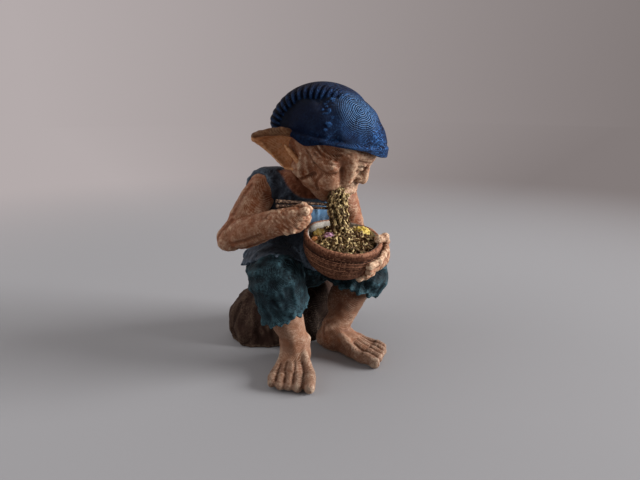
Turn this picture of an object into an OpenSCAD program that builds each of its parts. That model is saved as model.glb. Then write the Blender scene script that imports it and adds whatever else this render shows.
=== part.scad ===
// Goblin figurine, seated on a stone and eating noodles from a bowl.
// A printed and painted figure that goes together from keyed pieces, each cut to seat on the larger one
// that carries it, with short round pins across the glue joints. Millimetres, +Z up, the face towards -Y,
// the origin on the floor under the middle of the seat.

/* [Stone] */
// Width of the stone, side to side
stone_width = 50; // [45:1:56]
// Depth of the stone, front to back
stone_depth = 28; // [26:0.5:32]
// Height of the flat that the figure sits on
seat_height = 22; // [18:0.5:26]
// How far the stone's middle lies behind the seat's middle
stone_back = 1.5; // [0:0.5:4]
// How far the stone's middle lies to the right of the seat's middle
stone_aside = 1.8; // [0:0.2:3]
// How far the top of the stone leans back to the left
stone_lean = 3.5; // [1:0.5:5]
// Height of the ridges down the stone's sides
stone_ridge = 0.7; // [0.3:0.1:1.2]

/* [Torso] */
// Height of the waist above the seat
waist_rise = 14.5; // [13:0.5:17]
// Width of the hips
hip_width = 40; // [36:0.5:44]
// Depth of the hips
hip_depth = 30; // [26:0.5:34]
// Width of the vest's ragged skirt
hem_width = 44; // [42:0.5:47]
// Depth of the vest's ragged skirt
hem_depth = 33; // [31:0.5:36]
// How far the skirt laps over the top of the shorts
skirt_lap = 3; // [2:0.25:4]
// Width of the chest under the arms
chest_width = 37; // [33:0.5:40]
// Depth of the chest under the arms
chest_depth = 27; // [24:0.5:30]
// Middle of the chest, from the seat
chest = [0.5, -8, 35]; // [-20:0.5:50]
// Middle of the collar, from the seat
collar = [1.5, -15, 49]; // [-20:0.5:60]
// Width of the collar
collar_width = 20; // [18:0.5:24]

/* [Head] */
// Middle of the skull, from the seat
skull = [2.4, -21.6, 58.8]; // [-30:0.2:70]
// Turn of the head towards its left
head_turn = 33; // [25:1:40]
// Tilt of the face towards the bowl
head_tilt = 30; // [24:1:36]
// Width of the skull
skull_width = 29; // [27:0.5:31]
// Length of the skull, face to nape
skull_length = 35; // [33:0.5:37]
// Height of the skull
skull_height = 32; // [30:0.5:34]
// Length of the nose below the brow
nose_length = 7; // [6:0.5:9]
// How far the nose stands out of the face
nose_reach = 2.6; // [2:0.1:3.4]
// Length of an ear from its root to its tip
ear_length = 16.5; // [14:0.5:20]
// Height of an ear at its root
ear_height = 11; // [9:0.5:13]
// Thickness of an ear
ear_thickness = 3.2; // [2.6:0.1:4]
// Thickness of the neck
neck_width = 15; // [13:0.5:17]

/* [Cap] */
// Thickness of the cap's cloth
cap_thickness = 2.4; // [1.8:0.1:3]
// How far the peak stands out over the brow
peak_reach = 3.4; // [2:0.2:5]
// How far the gathered roll stands off the dome at its crest
roll_rise = 1.2; // [0.8:0.1:2]
// Width of the gathered roll at the nape
roll_width = 30; // [26:0.5:32]
// Thickness of the gathered roll at the nape
roll_thickness = 15; // [12:0.5:17]
// Number of gathers in the roll
gathers = 15; // [9:1:18]
// Depth of a gather
gather_depth = 1.5; // [0.6:0.1:2]

/* [Arms] */
// Right shoulder, from the seat
right_shoulder = [-16, -9.5, 41.5]; // [-30:0.5:50]
// Right elbow, from the seat
right_elbow = [-31, -12.5, 25.5]; // [-40:0.5:40]
// Right wrist, from the seat
right_wrist = [-20.5, -28, 32]; // [-40:0.5:40]
// Left shoulder, from the seat
left_shoulder = [16, -9.5, 40.5]; // [-30:0.5:50]
// Left elbow, from the seat
left_elbow = [20.5, -17, 20]; // [-40:0.5:40]
// Left wrist, from the seat
left_wrist = [17.5, -34, 20]; // [-40:0.5:40]
// Thickness of an arm at the shoulder
shoulder_width = 12.5; // [11:0.5:14]
// Thickness of an arm at the elbow
elbow_width = 10; // [9:0.5:12]
// Thickness of an arm at the wrist
wrist_width = 8; // [7:0.5:9]
// Thickness of a finger
finger_width = 2.9; // [2.4:0.1:3.2]

/* [Legs] */
// Right hip, from the seat
right_hip = [-10, -6, 9]; // [-30:0.5:30]
// Right knee, from the seat
right_knee = [-21, -26.8, 12]; // [-40:0.2:30]
// Right ankle, from the floor under the seat
right_ankle = [-14.3, -27.9, 9]; // [-40:0.1:30]
// Left hip, from the seat
left_hip = [10, -6, 8]; // [-30:0.5:30]
// Left knee, from the seat
left_knee = [18.5, -24.5, 6]; // [-40:0.5:30]
// Left ankle, from the floor under the seat
left_ankle = [5.5, -24.5, 9]; // [-40:0.5:30]
// Turn of the right foot towards its outer side
right_foot_turn = 33; // [20:1:45]
// Turn of the left foot towards its outer side
left_foot_turn = 26; // [12:1:36]
// Thickness of a thigh in the shorts
thigh_width = 21; // [18:0.5:24]
// Thickness of a knee in the shorts
knee_width = 19; // [17:0.5:22]
// Length of the shorts below the right knee
right_drop = 10.5; // [8:0.5:13]
// Length of the shorts below the left knee
left_drop = 4.5; // [3.5:0.5:7]
// Thickness of the calf
calf_width = 10.5; // [9:0.5:12]
// Thickness of the ankle
ankle_width = 8.5; // [7.5:0.5:10]
// Length of a foot, heel to toes
foot_length = 27; // [24:0.5:30]
// Width of a foot across the toes
foot_width = 15; // [13:0.5:16]

/* [Cloth hems] */
// Thickness of a ragged hem
hem_thickness = 1.4; // [1:0.1:2]
// Mean length of the tatters below the right knee
right_tatter = 2.75; // [2:0.25:4]
// Mean length of the tatters below the left knee
left_tatter = 2; // [1:0.25:3]
// Depth of the notches in the vest
notch_depth = 2.6; // [1.5:0.1:4]
// How much lower the right leg's hem hangs on its outer side
right_slant = 2; // [0:0.25:3]
// How much higher the left leg's hem hangs on its outer side
left_slant = 2.5; // [0:0.25:3]
// Number of tatters round a leg
tatters = 9; // [7:1:12]
// Number of notches round the vest
notches = 20; // [14:1:24]
// Number of folds down the back of the vest
folds = 7; // [4:1:9]
// Thickness of a fold at the skirt's edge
fold_width = 3; // [2:0.25:4]

/* [Meal] */
// Middle of the bowl's rim, from the seat
bowl_rim = [0.8, -36, 26.2]; // [-50:0.2:40]
// Diameter of the bowl over its rim
bowl_width = 27.4; // [25:0.2:30]
// Height of the bowl
bowl_height = 14; // [12:0.5:16]
// Wall of the bowl
bowl_wall = 1.6; // [1.2:0.1:2]
// Tip of the bowl away from the figure
bowl_tip = 12; // [4:1:16]
// Depth of the noodles' edge below the rim
mound_sink = 2.5; // [1.5:0.25:4]
// Height of the noodles' middle over their edge
mound_rise = 3.5; // [2:0.25:5]
// Thickness of the lifted noodles
hank_width = 6.8; // [5.5:0.1:8]
// Number of noodles round the lifted hank
hank_noodles = 11; // [7:1:14]
// Thickness of a chopstick at its butt
chopstick_width = 1.3; // [1:0.1:1.5]
// Thickness of a chopstick at its tip
chopstick_tip = 0.8; // [0.6:0.1:1]
// Gap between the middles of the two chopsticks at the fist
chopstick_gap = 1.6; // [1.5:0.1:2.2]
// Length of a chopstick behind the fist's middle
chopstick_tail = 5.5; // [4:0.5:8]
// Width of an egg in the bowl
egg_width = 6; // [4:0.5:7]

/* [Joints] */
// Thickness of a pin
pin_width = 1.75; // [1.5:0.05:2]
// Length of a pin
pin_length = 7; // [5:0.5:8]
// Clearance round a pin, or round a piece that slips over another
slip = 0.1; // [0.05:0.01:0.2]

/* [Hidden] */

seat = [0, 0, seat_height];
waist = seat + [0, -3, waist_rise];
up = [0, 0, 1];
left = [1, 0, 0];
reach_out = 200;          // larger than the figure, for cutting planes
round_fn = 40;            // facets drawn on round bores

// Unit vector along v.
function unit(v) = v / norm(v);

// The point a share t of the way from a to b.
function mix(a, b, t) = a + (b - a) * t;

// A station of a limb: its place, half its width and half its depth.
function station(p, width, depth) = [p.x, p.y, p.z, width / 2, depth / 2];

// A smooth curve through a list of like vectors, at place u along it.
function spline(list, u) =
    let (last = len(list) - 1,
        i = min(floor(u), last - 1),
        t = u - i,
        a = list[max(i - 1, 0)],
        b = list[i],
        c = list[i + 1],
        d = list[min(i + 2, last)])
    0.5 * (2 * b + (c - a) * t + (2 * a - 5 * b + 4 * c - d) * t ^ 2 + (3 * b - a - 3 * c + d) * t ^ 3);

// The same curve as a finer list.
function finer(list, steps) =
    [for (k = [0 : (len(list) - 1) * steps]) spline(list, k / steps)];

// The way a path runs at its station i.
function heading(path, i) =
    let (a = path[max(i - 1, 0)], b = path[min(i + 1, len(path) - 1)])
    unit([b.x - a.x, b.y - a.y, b.z - a.z]);

// An oval ring round a station, square to the way it runs, its width lying along side.
function ring(s, way, side, sides) =
    let (across = unit(side - way * (side * way)), deep = cross(way, across))
    [for (k = [0 : sides - 1])
        [s.x, s.y, s.z] + across * s[3] * cos(360 * k / sides) + deep * s[4] * sin(360 * k / sides)];

// The two triangles of a skin's cell between rings j and k.
function cell(j, k, i, n) = [
    [j * n + (i + 1) % n, j * n + i, k * n + i],
    [k * n + (i + 1) % n, j * n + (i + 1) % n, k * n + i]];

// A solid skinned over a list of rings, with a flat cap at each end.
module loft(rings) {
    n = len(rings[0]);
    m = len(rings);
    polyhedron(points = [for (r = rings) each r],
        faces = [
            [for (i = [0 : n - 1]) i],
            for (j = [0 : m - 2]) for (i = [0 : n - 1]) each cell(j, j + 1, i, n),
            [for (i = [0 : n - 1]) m * n - 1 - i]]);
}

// A hoop skinned over rings that close on themselves.
module hoop(rings) {
    n = len(rings[0]);
    m = len(rings);
    polyhedron(points = [for (r = rings) each r],
        faces = [for (j = [0 : m - 1]) for (i = [0 : n - 1]) each cell(j, (j + 1) % m, i, n)]);
}

// A limb along stations.
module limb(stations, side, sides = 14, steps = 2) {
    path = finer(stations, steps);
    loft([for (i = [0 : len(path) - 1]) ring(path[i], heading(path, i), side, sides)]);
}

// A trunk along stations, with every ring level.
module trunk(stations, sides) {
    loft([for (s = finer(stations, 2)) ring(s, up, left, sides)]);
}

// A round-ended digit along points, as thick as width, thinning to its tip.
module digit(points, width, sides = 8) {
    last = len(points) - 1;
    tip = points[last] + unit(points[last] - points[last - 1]) * width * 0.35;
    limb([
        for (i = [0 : last])
            let (w = width * (1 - 0.12 * i / last))
            station(points[i], w, w),
        station(tip, width * 0.4, width * 0.4)],
        [0.31, 0.17, 0.93], sides);
}

// The unit vector at a longitude from the face and a latitude.
function compass(lon, lat) = [sin(lon) * cos(lat), -cos(lon) * cos(lat), sin(lat)];

// A closed skin round the origin that reaches far(way) in each direction. Its meridians crowd to the face.
module globe(far, sides, rows, crowd = 0) {
    ways = [for (j = [1 : rows - 1]) for (i = [0 : sides - 1])
        let (lon = 360 * i / sides) compass(lon - crowd * sin(lon), -90 + 180 * j / rows)];
    n = len(ways);
    polyhedron(points = [for (w = ways) w * far(w), -up * far(-up), up * far(up)],
        faces = [
            for (i = [0 : sides - 1]) [i, (i + 1) % sides, n],
            for (j = [0 : rows - 3]) for (i = [0 : sides - 1]) each cell(j, j + 1, i, sides),
            for (i = [0 : sides - 1]) [n - 1 - i, n - 1 - (i + 1) % sides, n + 1]]);
}

// Reach of an oval with these half sizes.
function oval(way, half) = 1 / norm([way.x / half.x, way.y / half.y, way.z / half.z]);

// Height at a way w of soft bumps: each is [its middle, its spread in degrees, its height].
function bumps(w, list) =
    [for (b = list) b[2] * exp(-pow(acos(max(-1, min(1, w * unit(b[0])))) / b[1], 2))] * [for (b = list) 1];

// A list of bumps on the left side, with its mirror image on the right.
function both_sides(list) = [for (b = list) each [b, [[-b[0].x, b[0].y, b[0].z], b[1], b[2]]]];

// Stands what is drawn along +Z at p, along way.
module along(p, way) {
    w = unit(way);
    translate(p) rotate([0, acos(w.z), atan2(w.y, w.x)]) children();
}

// Everything beyond a plane through p, on the side that normal points at.
module beyond(p, normal) {
    along(p, normal) translate([-reach_out / 2, -reach_out / 2, 0]) cube(reach_out);
}

// A rod from a to b.
module rod(a, b, width) {
    along(a, b - a) cylinder(d = width, h = norm(b - a), $fn = round_fn);
}

// Stone: a worn, ridged block, flat below and where the figure sits.
stone_sides = 40;
stone_square = 2.7;       // 2 would make its outline a plain oval
function stone_ring(share, lean, height) =
    [for (k = [0 : stone_sides - 1])
        let (a = 360 * k / stone_sides,
            w = [abs(cos(a)) * 2 / stone_width, abs(sin(a)) * 2 / stone_depth],
            r = pow(pow(w.x, stone_square) + pow(w.y, stone_square), -1 / stone_square) * share,
            ridge = stone_ridge * [1, 0.8, 0.5]
                * [sin(5 * a + 40), sin(8 * a + 140 * height), sin(13 * a - 90 * height)])
        [stone_lean * lean - stone_aside + cos(a) * (r + ridge), stone_back + sin(a) * (r + ridge),
            height * seat_height]];

module stone_form() {
    loft([stone_ring(0.97, 0, 0), stone_ring(1, 0, 0.12), stone_ring(1, 0, 0.35), stone_ring(0.98, 0.06, 0.55),
        stone_ring(0.92, 0.25, 0.7), stone_ring(0.8, 0.57, 0.84), stone_ring(0.6, 1, 1)]);
}

module stone() {
    color("#5d5049")
    difference() {
        stone_form();
        pin_hole(seat_pin);
    }
}

// Shorts: a seat that the trunk stands on, and two tattered legs.
module shorts_seat_form() {
    trunk([
        station(seat, hip_width - 8, hip_depth - 6),
        station(mix(seat, waist, 0.35), hip_width, hip_depth),
        station(mix(seat, waist, 0.7), hip_width, hip_depth),
        station(waist, hip_width - 2, hip_depth - 2)],
        22);
}

module shorts_seat() {
    color("#22474d")
    difference() {
        shorts_seat_form();
        pin_hole(seat_pin);
        pin_hole(waist_pin);
        pin_hole(right_thigh_pin);
        pin_hole(left_thigh_pin);
    }
}

// A ragged hoop of cloth: it leaves top, where it is as wide as width, and hangs down way in tatters, lower
// towards low_side by its length.
module ragged_hem(top, way, width, low_side, tatter, seed) {
    across = unit(left - way * (left * way));
    deep = cross(way, across);
    steps = 2 * tatters;
    lap = 1.2;
    sink = 0.9;
    flare = 0.4;
    shortest = 0.4;
    hoop([for (k = [0 : steps - 1])
        let (a = -360 * k / steps,
            out = across * cos(a) + deep * sin(a),
            tooth = (k % 2 == 0 ? 0.35 : -0.35) + 0.3 * sin(seed * k * 37),
            drop = max(shortest, tatter * (1 + tooth) + out * low_side - 0.3 * norm(low_side)),
            r = width / 2)
        [top + out * (r - sink - hem_thickness) - way * lap, top + out * (r - sink) - way * lap,
            top + out * (r + flare) + way * drop, top + out * (r + flare - hem_thickness) + way * drop]]);
}

thigh_clearance = 5 * slip;    // from a thigh to the stone under it

// One leg of the shorts: thigh, knee, and the sleeve below it. The bare leg is let into the sleeve's end.
module shorts_leg_form(hip, knee, ankle, drop) {
    way = unit(ankle - knee);
    thigh = unit(knee - hip);
    limb([
        station(hip - thigh * 2, thigh_width, thigh_width * 0.9),
        station(mix(hip, knee, 0.5), thigh_width, thigh_width * 0.95),
        station(knee, knee_width, knee_width),
        station(knee + thigh * knee_width * 0.3, knee_width * 0.8, knee_width * 0.8),
        station(knee + thigh * knee_width * 0.42, knee_width * 0.4, knee_width * 0.4)],
        left, 18);
    limb([
        station(knee - way * knee_width * 0.36, knee_width * 0.55, knee_width * 0.55),
        station(knee - way * knee_width * 0.2, knee_width * 0.9, knee_width * 0.9),
        station(knee + way * drop * 0.4, knee_width, knee_width),
        station(knee + way * drop, knee_width - 2, knee_width - 2)],
        left, 18);
}

module shorts_right_leg_form() {
    shorts_leg_form(seat + right_hip, seat + right_knee, right_ankle, right_drop);
}

module shorts_left_leg_form() {
    shorts_leg_form(seat + left_hip, seat + left_knee, left_ankle, left_drop);
}

module shorts_right_leg() {
    color("#22474d")
    difference() {
        union() {
            shorts_right_leg_form();
            ragged_hem(right_shin_pin[0], right_shin, knee_width - 2, -left * right_slant, right_tatter, 1);
        }
        shorts_seat_form();
        vest_form();
        translate(up * thigh_clearance) stone_form();
        calf_form(right_shin_pin[0], right_ankle, slip);
        pin_hole(right_thigh_pin);
        pin_hole(right_shin_pin);
    }
}

module shorts_left_leg() {
    color("#22474d")
    difference() {
        union() {
            shorts_left_leg_form();
            ragged_hem(left_shin_pin[0], left_shin, knee_width - 2, -left * left_slant, left_tatter, 2);
        }
        shorts_seat_form();
        vest_form();
        translate(up * thigh_clearance) stone_form();
        calf_form(left_shin_pin[0], left_ankle, slip);
        pin_hole(left_thigh_pin);
        pin_hole(left_shin_pin);
    }
}

// The calf and ankle, down into the foot.
module calf_form(top, ankle, grow) {
    limb([
        station(top - unit(ankle - top) * grow, calf_width - 0.6 + 2 * grow, calf_width - 0.6 + 2 * grow),
        station(mix(top, ankle, 0.35), calf_width + 2 * grow, calf_width * 1.02 + 2 * grow),
        station(mix(top, ankle, 0.75), ankle_width + 2 * grow, ankle_width * 1.05 + 2 * grow),
        station(ankle, ankle_width, ankle_width * 1.1),
        station([ankle.x, ankle.y, 2], ankle_width * 0.95, ankle_width * 1.1)],
        left, 14);
}

// A bare leg: calf, ankle, and a flat-soled foot with five toes.
module bare_leg(top, ankle, turn, outer) {
    ahead = [sin(turn), -cos(turn), 0];
    out = [ahead.y, -ahead.x, 0] * -outer;
    heel = [ankle.x, ankle.y, 0] - ahead * foot_length * 0.24;
    ball = heel + ahead * foot_length * 0.66;
    difference() {
        union() {
            calf_form(top, ankle, 0);
            limb([
                station(heel + up * 4, 6, 7),
                station(heel + ahead * 2.4 + up * 3.6, 9, 9.4),
                station(heel + ahead * foot_length * 0.4 + up * 3.8, 10, 10.5),
                station(ball + up * 2.4, foot_width - 1, 7.2),
                station(ball + ahead * foot_length * 0.12 + up * 1.6, foot_width - 2.6, 5),
                station(ball + ahead * foot_length * 0.16 + up * 1.4, foot_width - 5, 3)],
                out, 16);
            for (k = [0 : 4])
                toe(ball, ahead, out, k);
        }
        beyond([0, 0, 0], -up);
    }
}

// Toe k, from the big toe at the inner edge to the little toe at the outer one.
module toe(ball, ahead, out, k) {
    width = foot_width * (k == 0 ? 0.3 : 0.23 - 0.008 * k);
    aside = foot_width * (k == 0 ? -0.34 : -0.28 + 0.178 * k);
    root = ball + out * aside + up * 2.6;
    long = foot_length * (0.34 - 0.028 * k - (k == 4 ? 0.03 : 0));
    digit([root, root + ahead * long * 0.5 + out * aside * 0.06 + up * 0.5,
        root + ahead * long * 0.85 + out * aside * 0.1 - up * 0.7], width);
}

module right_leg() {
    color("#b98a68")
    difference() {
        bare_leg(right_shin_pin[0], right_ankle, -right_foot_turn, -1);
        pin_hole(right_shin_pin);
    }
}

module left_leg() {
    color("#b98a68")
    difference() {
        bare_leg(left_shin_pin[0], left_ankle, left_foot_turn, 1);
        pin_hole(left_shin_pin);
    }
}

// Vest: the trunk in a sleeveless vest, flared to a ragged skirt that laps over the top of the shorts.
hem = waist - up * skirt_lap;

vest_stations = [
    station(hem, hem_width, hem_depth),
    station(mix(hem, seat + chest, 0.35), hip_width - 3, hip_depth - 2),
    station(seat + chest, chest_width, chest_depth)];

module vest_form() {
    trunk([
        each vest_stations,
        station(mix(seat + chest, seat + collar, 0.5), chest_width - 2, chest_depth - 5),
        station(mix(seat + chest, seat + collar, 0.85), chest_width - 11, chest_depth - 10),
        station(seat + collar, collar_width, collar_width - 4)],
        24);
}

// Folds that fan down the back from between the shoulders to just above the skirt's edge.
module vest_folds() {
    for (k = [0 : folds - 1])
        let (a = 28 + 124 * (k + 0.2 * sin(k * 95)) / (folds - 1))
        limb([for (j = [0 : 2])
            let (s = vest_stations[j], w = fold_width * (1 - 0.4 * j), lift = j == 0 ? 1.2 : 0)
            station([s.x + s[3] * cos(a), s.y + s[4] * sin(a), s.z + lift], w, w * 0.9)],
            [cos(a + 90), sin(a + 90), 0], 6);
}

// V notches all round the skirt's edge, let in as far as the cloth is thick.
module vest_notches() {
    for (k = [0 : notches - 1])
        let (a = 360 * (k + 0.25 * sin(k * 77)) / notches,
            edge = 1 / norm([cos(a) * 2 / hem_width, sin(a) * 2 / hem_depth]))
        translate(hem)
            rotate([0, 0, a])
                translate([edge - (hem_width - hip_width) / 2, 0, 0])
                    rotate([0, 90, 0])
                        cylinder(d = notch_depth * (2 + 0.7 * sin(k * 131)), h = hem_width, $fn = 4);
}

module vest() {
    color("#3c4a5e")
    difference() {
        union() {
            vest_form();
            vest_folds();
        }
        shorts_seat_form();
        vest_notches();
        pin_hole(waist_pin);
        pin_hole(neck_pin);
        pin_hole(right_shoulder_pin);
        pin_hole(left_shoulder_pin);
    }
}

// Head: skull, brow, cheeks, jaw and nose as one skin, and the neck down to the collar.
skull_half = [skull_width, skull_length, skull_height] / 2;
face_bumps = concat(
    both_sides([
        [[0.40, -0.86, 0.30], 17, 1.8],      // brow
        [[0.36, -0.90, 0.06], 11, -2.2],     // eye socket
        [[0.62, -0.74, -0.16], 20, 1.6],     // cheekbone
        [[0.62, -0.62, -0.52], 20, 1.4],     // jowl
        [[0.55, -0.34, -0.76], 22, 1.6]]),   // jaw
    [
        [[0, -0.95, 0.27], 14, 1.6],         // between the brows
        [[0, -0.86, -0.50], 20, 2.4],        // lips
        [[0, -0.72, -0.72], 20, 4.2],        // chin
        [[0, -0.84, -0.58], 6, -1.4]]);      // mouth
function head_reach(w, grow) = oval(w, skull_half) + bumps(w, face_bumps) + grow;

// A way, and a point, given in the head's own frame.
function head_way(v) =
    let (y = v.y * cos(head_tilt) - v.z * sin(head_tilt), z = v.y * sin(head_tilt) + v.z * cos(head_tilt))
    [v.x * cos(head_turn) - y * sin(head_turn), v.x * sin(head_turn) + y * cos(head_turn), z];
function head_point(p) = seat + skull + head_way(p);

module in_head() {
    translate(seat + skull) rotate([head_tilt, 0, head_turn]) children();
}

module skull_form(grow) {
    globe(function(w) head_reach(w, grow), 36, 22, 26);
}

module nose_form() {
    brow = [0, -skull_length / 2 - 0.4, 2.8];
    limb([
        station(brow + [0, 1.5, 1.5], 3, 3),
        station(brow + [0, 0, -nose_length * 0.3], 3.4, 4),
        station(brow + [0, -nose_reach * 0.5, -nose_length * 0.75], 5, 4.6),
        station(brow + [0, -nose_reach * 0.45, -nose_length], 4.6, 3.8),
        station(brow + [0, -nose_reach * 0.1, -nose_length * 1.15], 2.4, 2)],
        left, 12);
    for (s = [-1, 1])
        digit([brow + [s * 1.6, 1, -nose_length * 0.85], brow + [s * 2.5, 0.2, -nose_length * 0.92]], 2.8);
}

module neck_form() {
    limb([
        station(seat + collar + [0, 2, -5], neck_width - 2, neck_width - 2),
        station(mix(seat + collar, seat + skull, 0.4), neck_width, neck_width),
        station(mix(seat + collar, seat + skull, 0.8), neck_width - 2, neck_width - 2)],
        left, 14);
}

module head() {
    color("#b98a68")
    difference() {
        union() {
            in_head() skull_form(0);
            in_head() nose_form();
            neck_form();
        }
        vest_form();
        in_head() ear_form(-1, slip);
        in_head() ear_form(1, slip);
        pin_hole(neck_pin);
        pin_hole(roll_pin);
    }
}

// An ear: a pointed leaf swept back, hollowed on its outer face, its root let into the side of the head.
function ear_sweep(side) = [side * 0.42, 0.88, -0.25];

module ear_form(side, grow) {
    root = [side * (skull_width / 2 - 2.5), 1.5, -4];
    far = unit(ear_sweep(side));
    limb([
        station(root - far * grow, ear_thickness + 1 + 2 * grow, ear_height + 2 * grow),
        station(root + far * ear_length * 0.35, ear_thickness + 2 * grow, ear_height * 0.92 + 2 * grow),
        station(root + far * ear_length * 0.7, ear_thickness * 0.9 + 2 * grow, ear_height * 0.6 + 2 * grow),
        station(root + far * ear_length * 0.95, ear_thickness * 0.8, ear_height * 0.26),
        station(root + far * ear_length * 1.05, ear_thickness * 0.5, ear_height * 0.08)],
        left, 14);
}

module ear_hollow(side) {
    root = [side * (skull_width / 2 + ear_thickness * 0.45), 0, -4.6];
    far = unit(ear_sweep(side) + [side * 0.04, 0, -0.02]);
    limb([
        station(root + far * ear_length * 0.04, ear_thickness * 0.8, ear_height * 0.5),
        station(root + far * ear_length * 0.3, ear_thickness, ear_height * 0.62),
        station(root + far * ear_length * 0.62, ear_thickness * 0.8, ear_height * 0.36),
        station(root + far * ear_length * 0.85, ear_thickness * 0.5, ear_height * 0.1)],
        left, 12);
}

module ear(side) {
    color("#b07d58")
    in_head()
        difference() {
            ear_form(side, 0);
            ear_hollow(side);
            cap_dome_form();
        }
}

module right_ear() {
    ear(-1);
}

module left_ear() {
    ear(1);
}

// Cap: a soft dome pulled over the skull, with a pointed peak, and a gathered roll over its crown.
brim_slope = 18.5;
brim_drop = 0.8;
cap_half = skull_half + [1, 1, 1] * cap_thickness;
peak_bumps = [[[0, -0.94, 0.36], 15, peak_reach], [[0, -0.8, 0.6], 30, 0.8]];
function cap_reach(w) = oval(w, cap_half) + bumps(w, peak_bumps);

// A point of the dome in the head's middle plane, at an angle up from the nape.
function cap_crown(a) = [0, cos(a), sin(a)] * oval([0, cos(a), sin(a)], cap_half);

module cap_form() {
    globe(function(w) cap_reach(w), 36, 22);
}

module cap_dome_form() {
    difference() {
        cap_form();
        beyond(up * brim_drop, [0, -sin(brim_slope), -cos(brim_slope)]);
    }
}

module cap() {
    color("#17305f")
    difference() {
        in_head()
            difference() {
                cap_dome_form();
                skull_form(slip);
            }
        pin_hole(roll_pin);
    }
}

// The roll runs over the crown in the head's middle plane, from the nape to the front of the dome, where it
// sinks into it. Gathers draw in its two flanks.
roll_from = -20;
roll_to = 128;
roll_sides = 20;
function roll_ring(t, gathered) =
    let (a = roll_from + (roll_to - roll_from) * t,
        out = [0, cos(a), sin(a)],
        end = min(1, 9 * t, 4 * (1 - t)),
        thick = roll_thickness * (1 - 0.45 * t) * (0.5 + 0.5 * end),
        wide = roll_width * (1 - 0.5 * t) * (0.7 + 0.3 * end) - 2 * gathered * gather_depth * (1 - t),
        middle = cap_crown(a) + out * (roll_rise * (2 * end - 1) - thick / 2))
    [for (k = [0 : roll_sides - 1])
        let (b = 360 * k / roll_sides)
        middle + left * cos(b) * wide / 2 + out * sin(b) * thick / 2];

module cap_roll() {
    steps = 2 * gathers;
    color("#1a2f5a")
    difference() {
        in_head()
            difference() {
                loft([for (k = [0 : steps]) roll_ring(k / steps, 1 - k % 2)]);
                cap_form();
                skull_form(slip);
            }
        pin_hole(roll_pin);
    }
}

// Arms: each an upper arm seated on the vest, a forearm seated on the elbow, and a hand on the wrist.
module upper_arm_form(shoulder, elbow) {
    way = unit(elbow - shoulder);
    limb([
        station(shoulder - way * 5, shoulder_width * 0.7, shoulder_width * 0.7),
        station(shoulder - way * 2, shoulder_width, shoulder_width),
        station(mix(shoulder, elbow, 0.35), shoulder_width * 0.98, shoulder_width),
        station(mix(shoulder, elbow, 0.8), elbow_width * 0.98, elbow_width),
        station(elbow, elbow_width, elbow_width),
        station(elbow + way * elbow_width * 0.3, elbow_width * 0.7, elbow_width * 0.7),
        station(elbow + way * elbow_width * 0.42, elbow_width * 0.3, elbow_width * 0.3)],
        [0.2, 0.98, 0], 14);
}

module forearm_form(elbow, wrist) {
    limb([
        station(elbow, elbow_width * 0.7, elbow_width * 0.7),
        station(mix(elbow, wrist, 0.2), elbow_width, elbow_width),
        station(mix(elbow, wrist, 0.45), elbow_width * 1.04, elbow_width),
        station(mix(elbow, wrist, 0.85), wrist_width * 1.02, wrist_width),
        station(wrist, wrist_width, wrist_width * 0.95)],
        [0.1, 0.2, 0.97], 14);
}

module right_upper_arm_form() {
    upper_arm_form(seat + right_shoulder, seat + right_elbow);
}

module left_upper_arm_form() {
    upper_arm_form(seat + left_shoulder, seat + left_elbow);
}

module right_forearm_form() {
    forearm_form(seat + right_elbow, seat + right_wrist);
}

module left_forearm_form() {
    forearm_form(seat + left_elbow, seat + left_wrist);
}

module right_upper_arm() {
    color("#b98a68")
    difference() {
        right_upper_arm_form();
        vest_form();
        pin_hole(right_shoulder_pin);
        pin_hole(right_elbow_pin);
    }
}

module right_forearm() {
    color("#b98a68")
    difference() {
        right_forearm_form();
        right_upper_arm_form();
        pin_hole(right_elbow_pin);
        pin_hole(right_wrist_pin);
    }
}

// The left arm lies on its thigh.
module left_upper_arm() {
    color("#b98a68")
    difference() {
        left_upper_arm_form();
        vest_form();
        shorts_left_leg_form();
        pin_hole(left_shoulder_pin);
        pin_hole(left_elbow_pin);
    }
}

module left_forearm() {
    color("#b98a68")
    difference() {
        left_forearm_form();
        left_upper_arm_form();
        shorts_left_leg_form();
        pin_hole(left_elbow_pin);
        pin_hole(left_wrist_pin);
    }
}

// Right hand: a fist round the chopsticks, the fingers curled under and the thumb along the top.
fist_way = unit([0.78, -0.56, 0.28]);
fist_out = unit(cross(fist_way, up));
fist_up = cross(fist_out, fist_way);
function fist_point(ahead, aside, above) =
    seat + right_wrist + fist_way * ahead + fist_out * aside + fist_up * above;

module right_hand_form() {
    limb([
        station(fist_point(-1, 0, 0), wrist_width * 0.85, wrist_width * 0.8),
        station(fist_point(2.5, 0.2, 0.2), wrist_width * 1.08, wrist_width * 1.1),
        station(fist_point(6.5, 0.4, 0.4), wrist_width * 1.1, wrist_width * 1.25),
        station(fist_point(9, 0.6, 0.4), wrist_width * 0.8, wrist_width * 0.95)],
        [0.3, 0.3, 0.9], 14);
    for (k = [0 : 3])
        digit([
            fist_point(7.4 - 0.2 * k, 3.4, 3.2 - 2.3 * k),
            fist_point(10.8 - 0.5 * k, 3.2, 3 - 2.3 * k),
            fist_point(11.4 - 0.6 * k, -0.4, 2.6 - 2.2 * k),
            fist_point(8.6 - 0.4 * k, -2.2, 2.2 - 2.1 * k)],
            finger_width);
    digit([fist_point(2.5, -2, 3), fist_point(6, -2.4, 4.4), fist_point(10.2, -0.6, 4.8)],
        finger_width * 1.1);
}

module right_hand() {
    color("#b98a68")
    difference() {
        right_hand_form();
        right_forearm_form();
        chopstick_holes();
        pin_hole(right_wrist_pin);
    }
}

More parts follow.
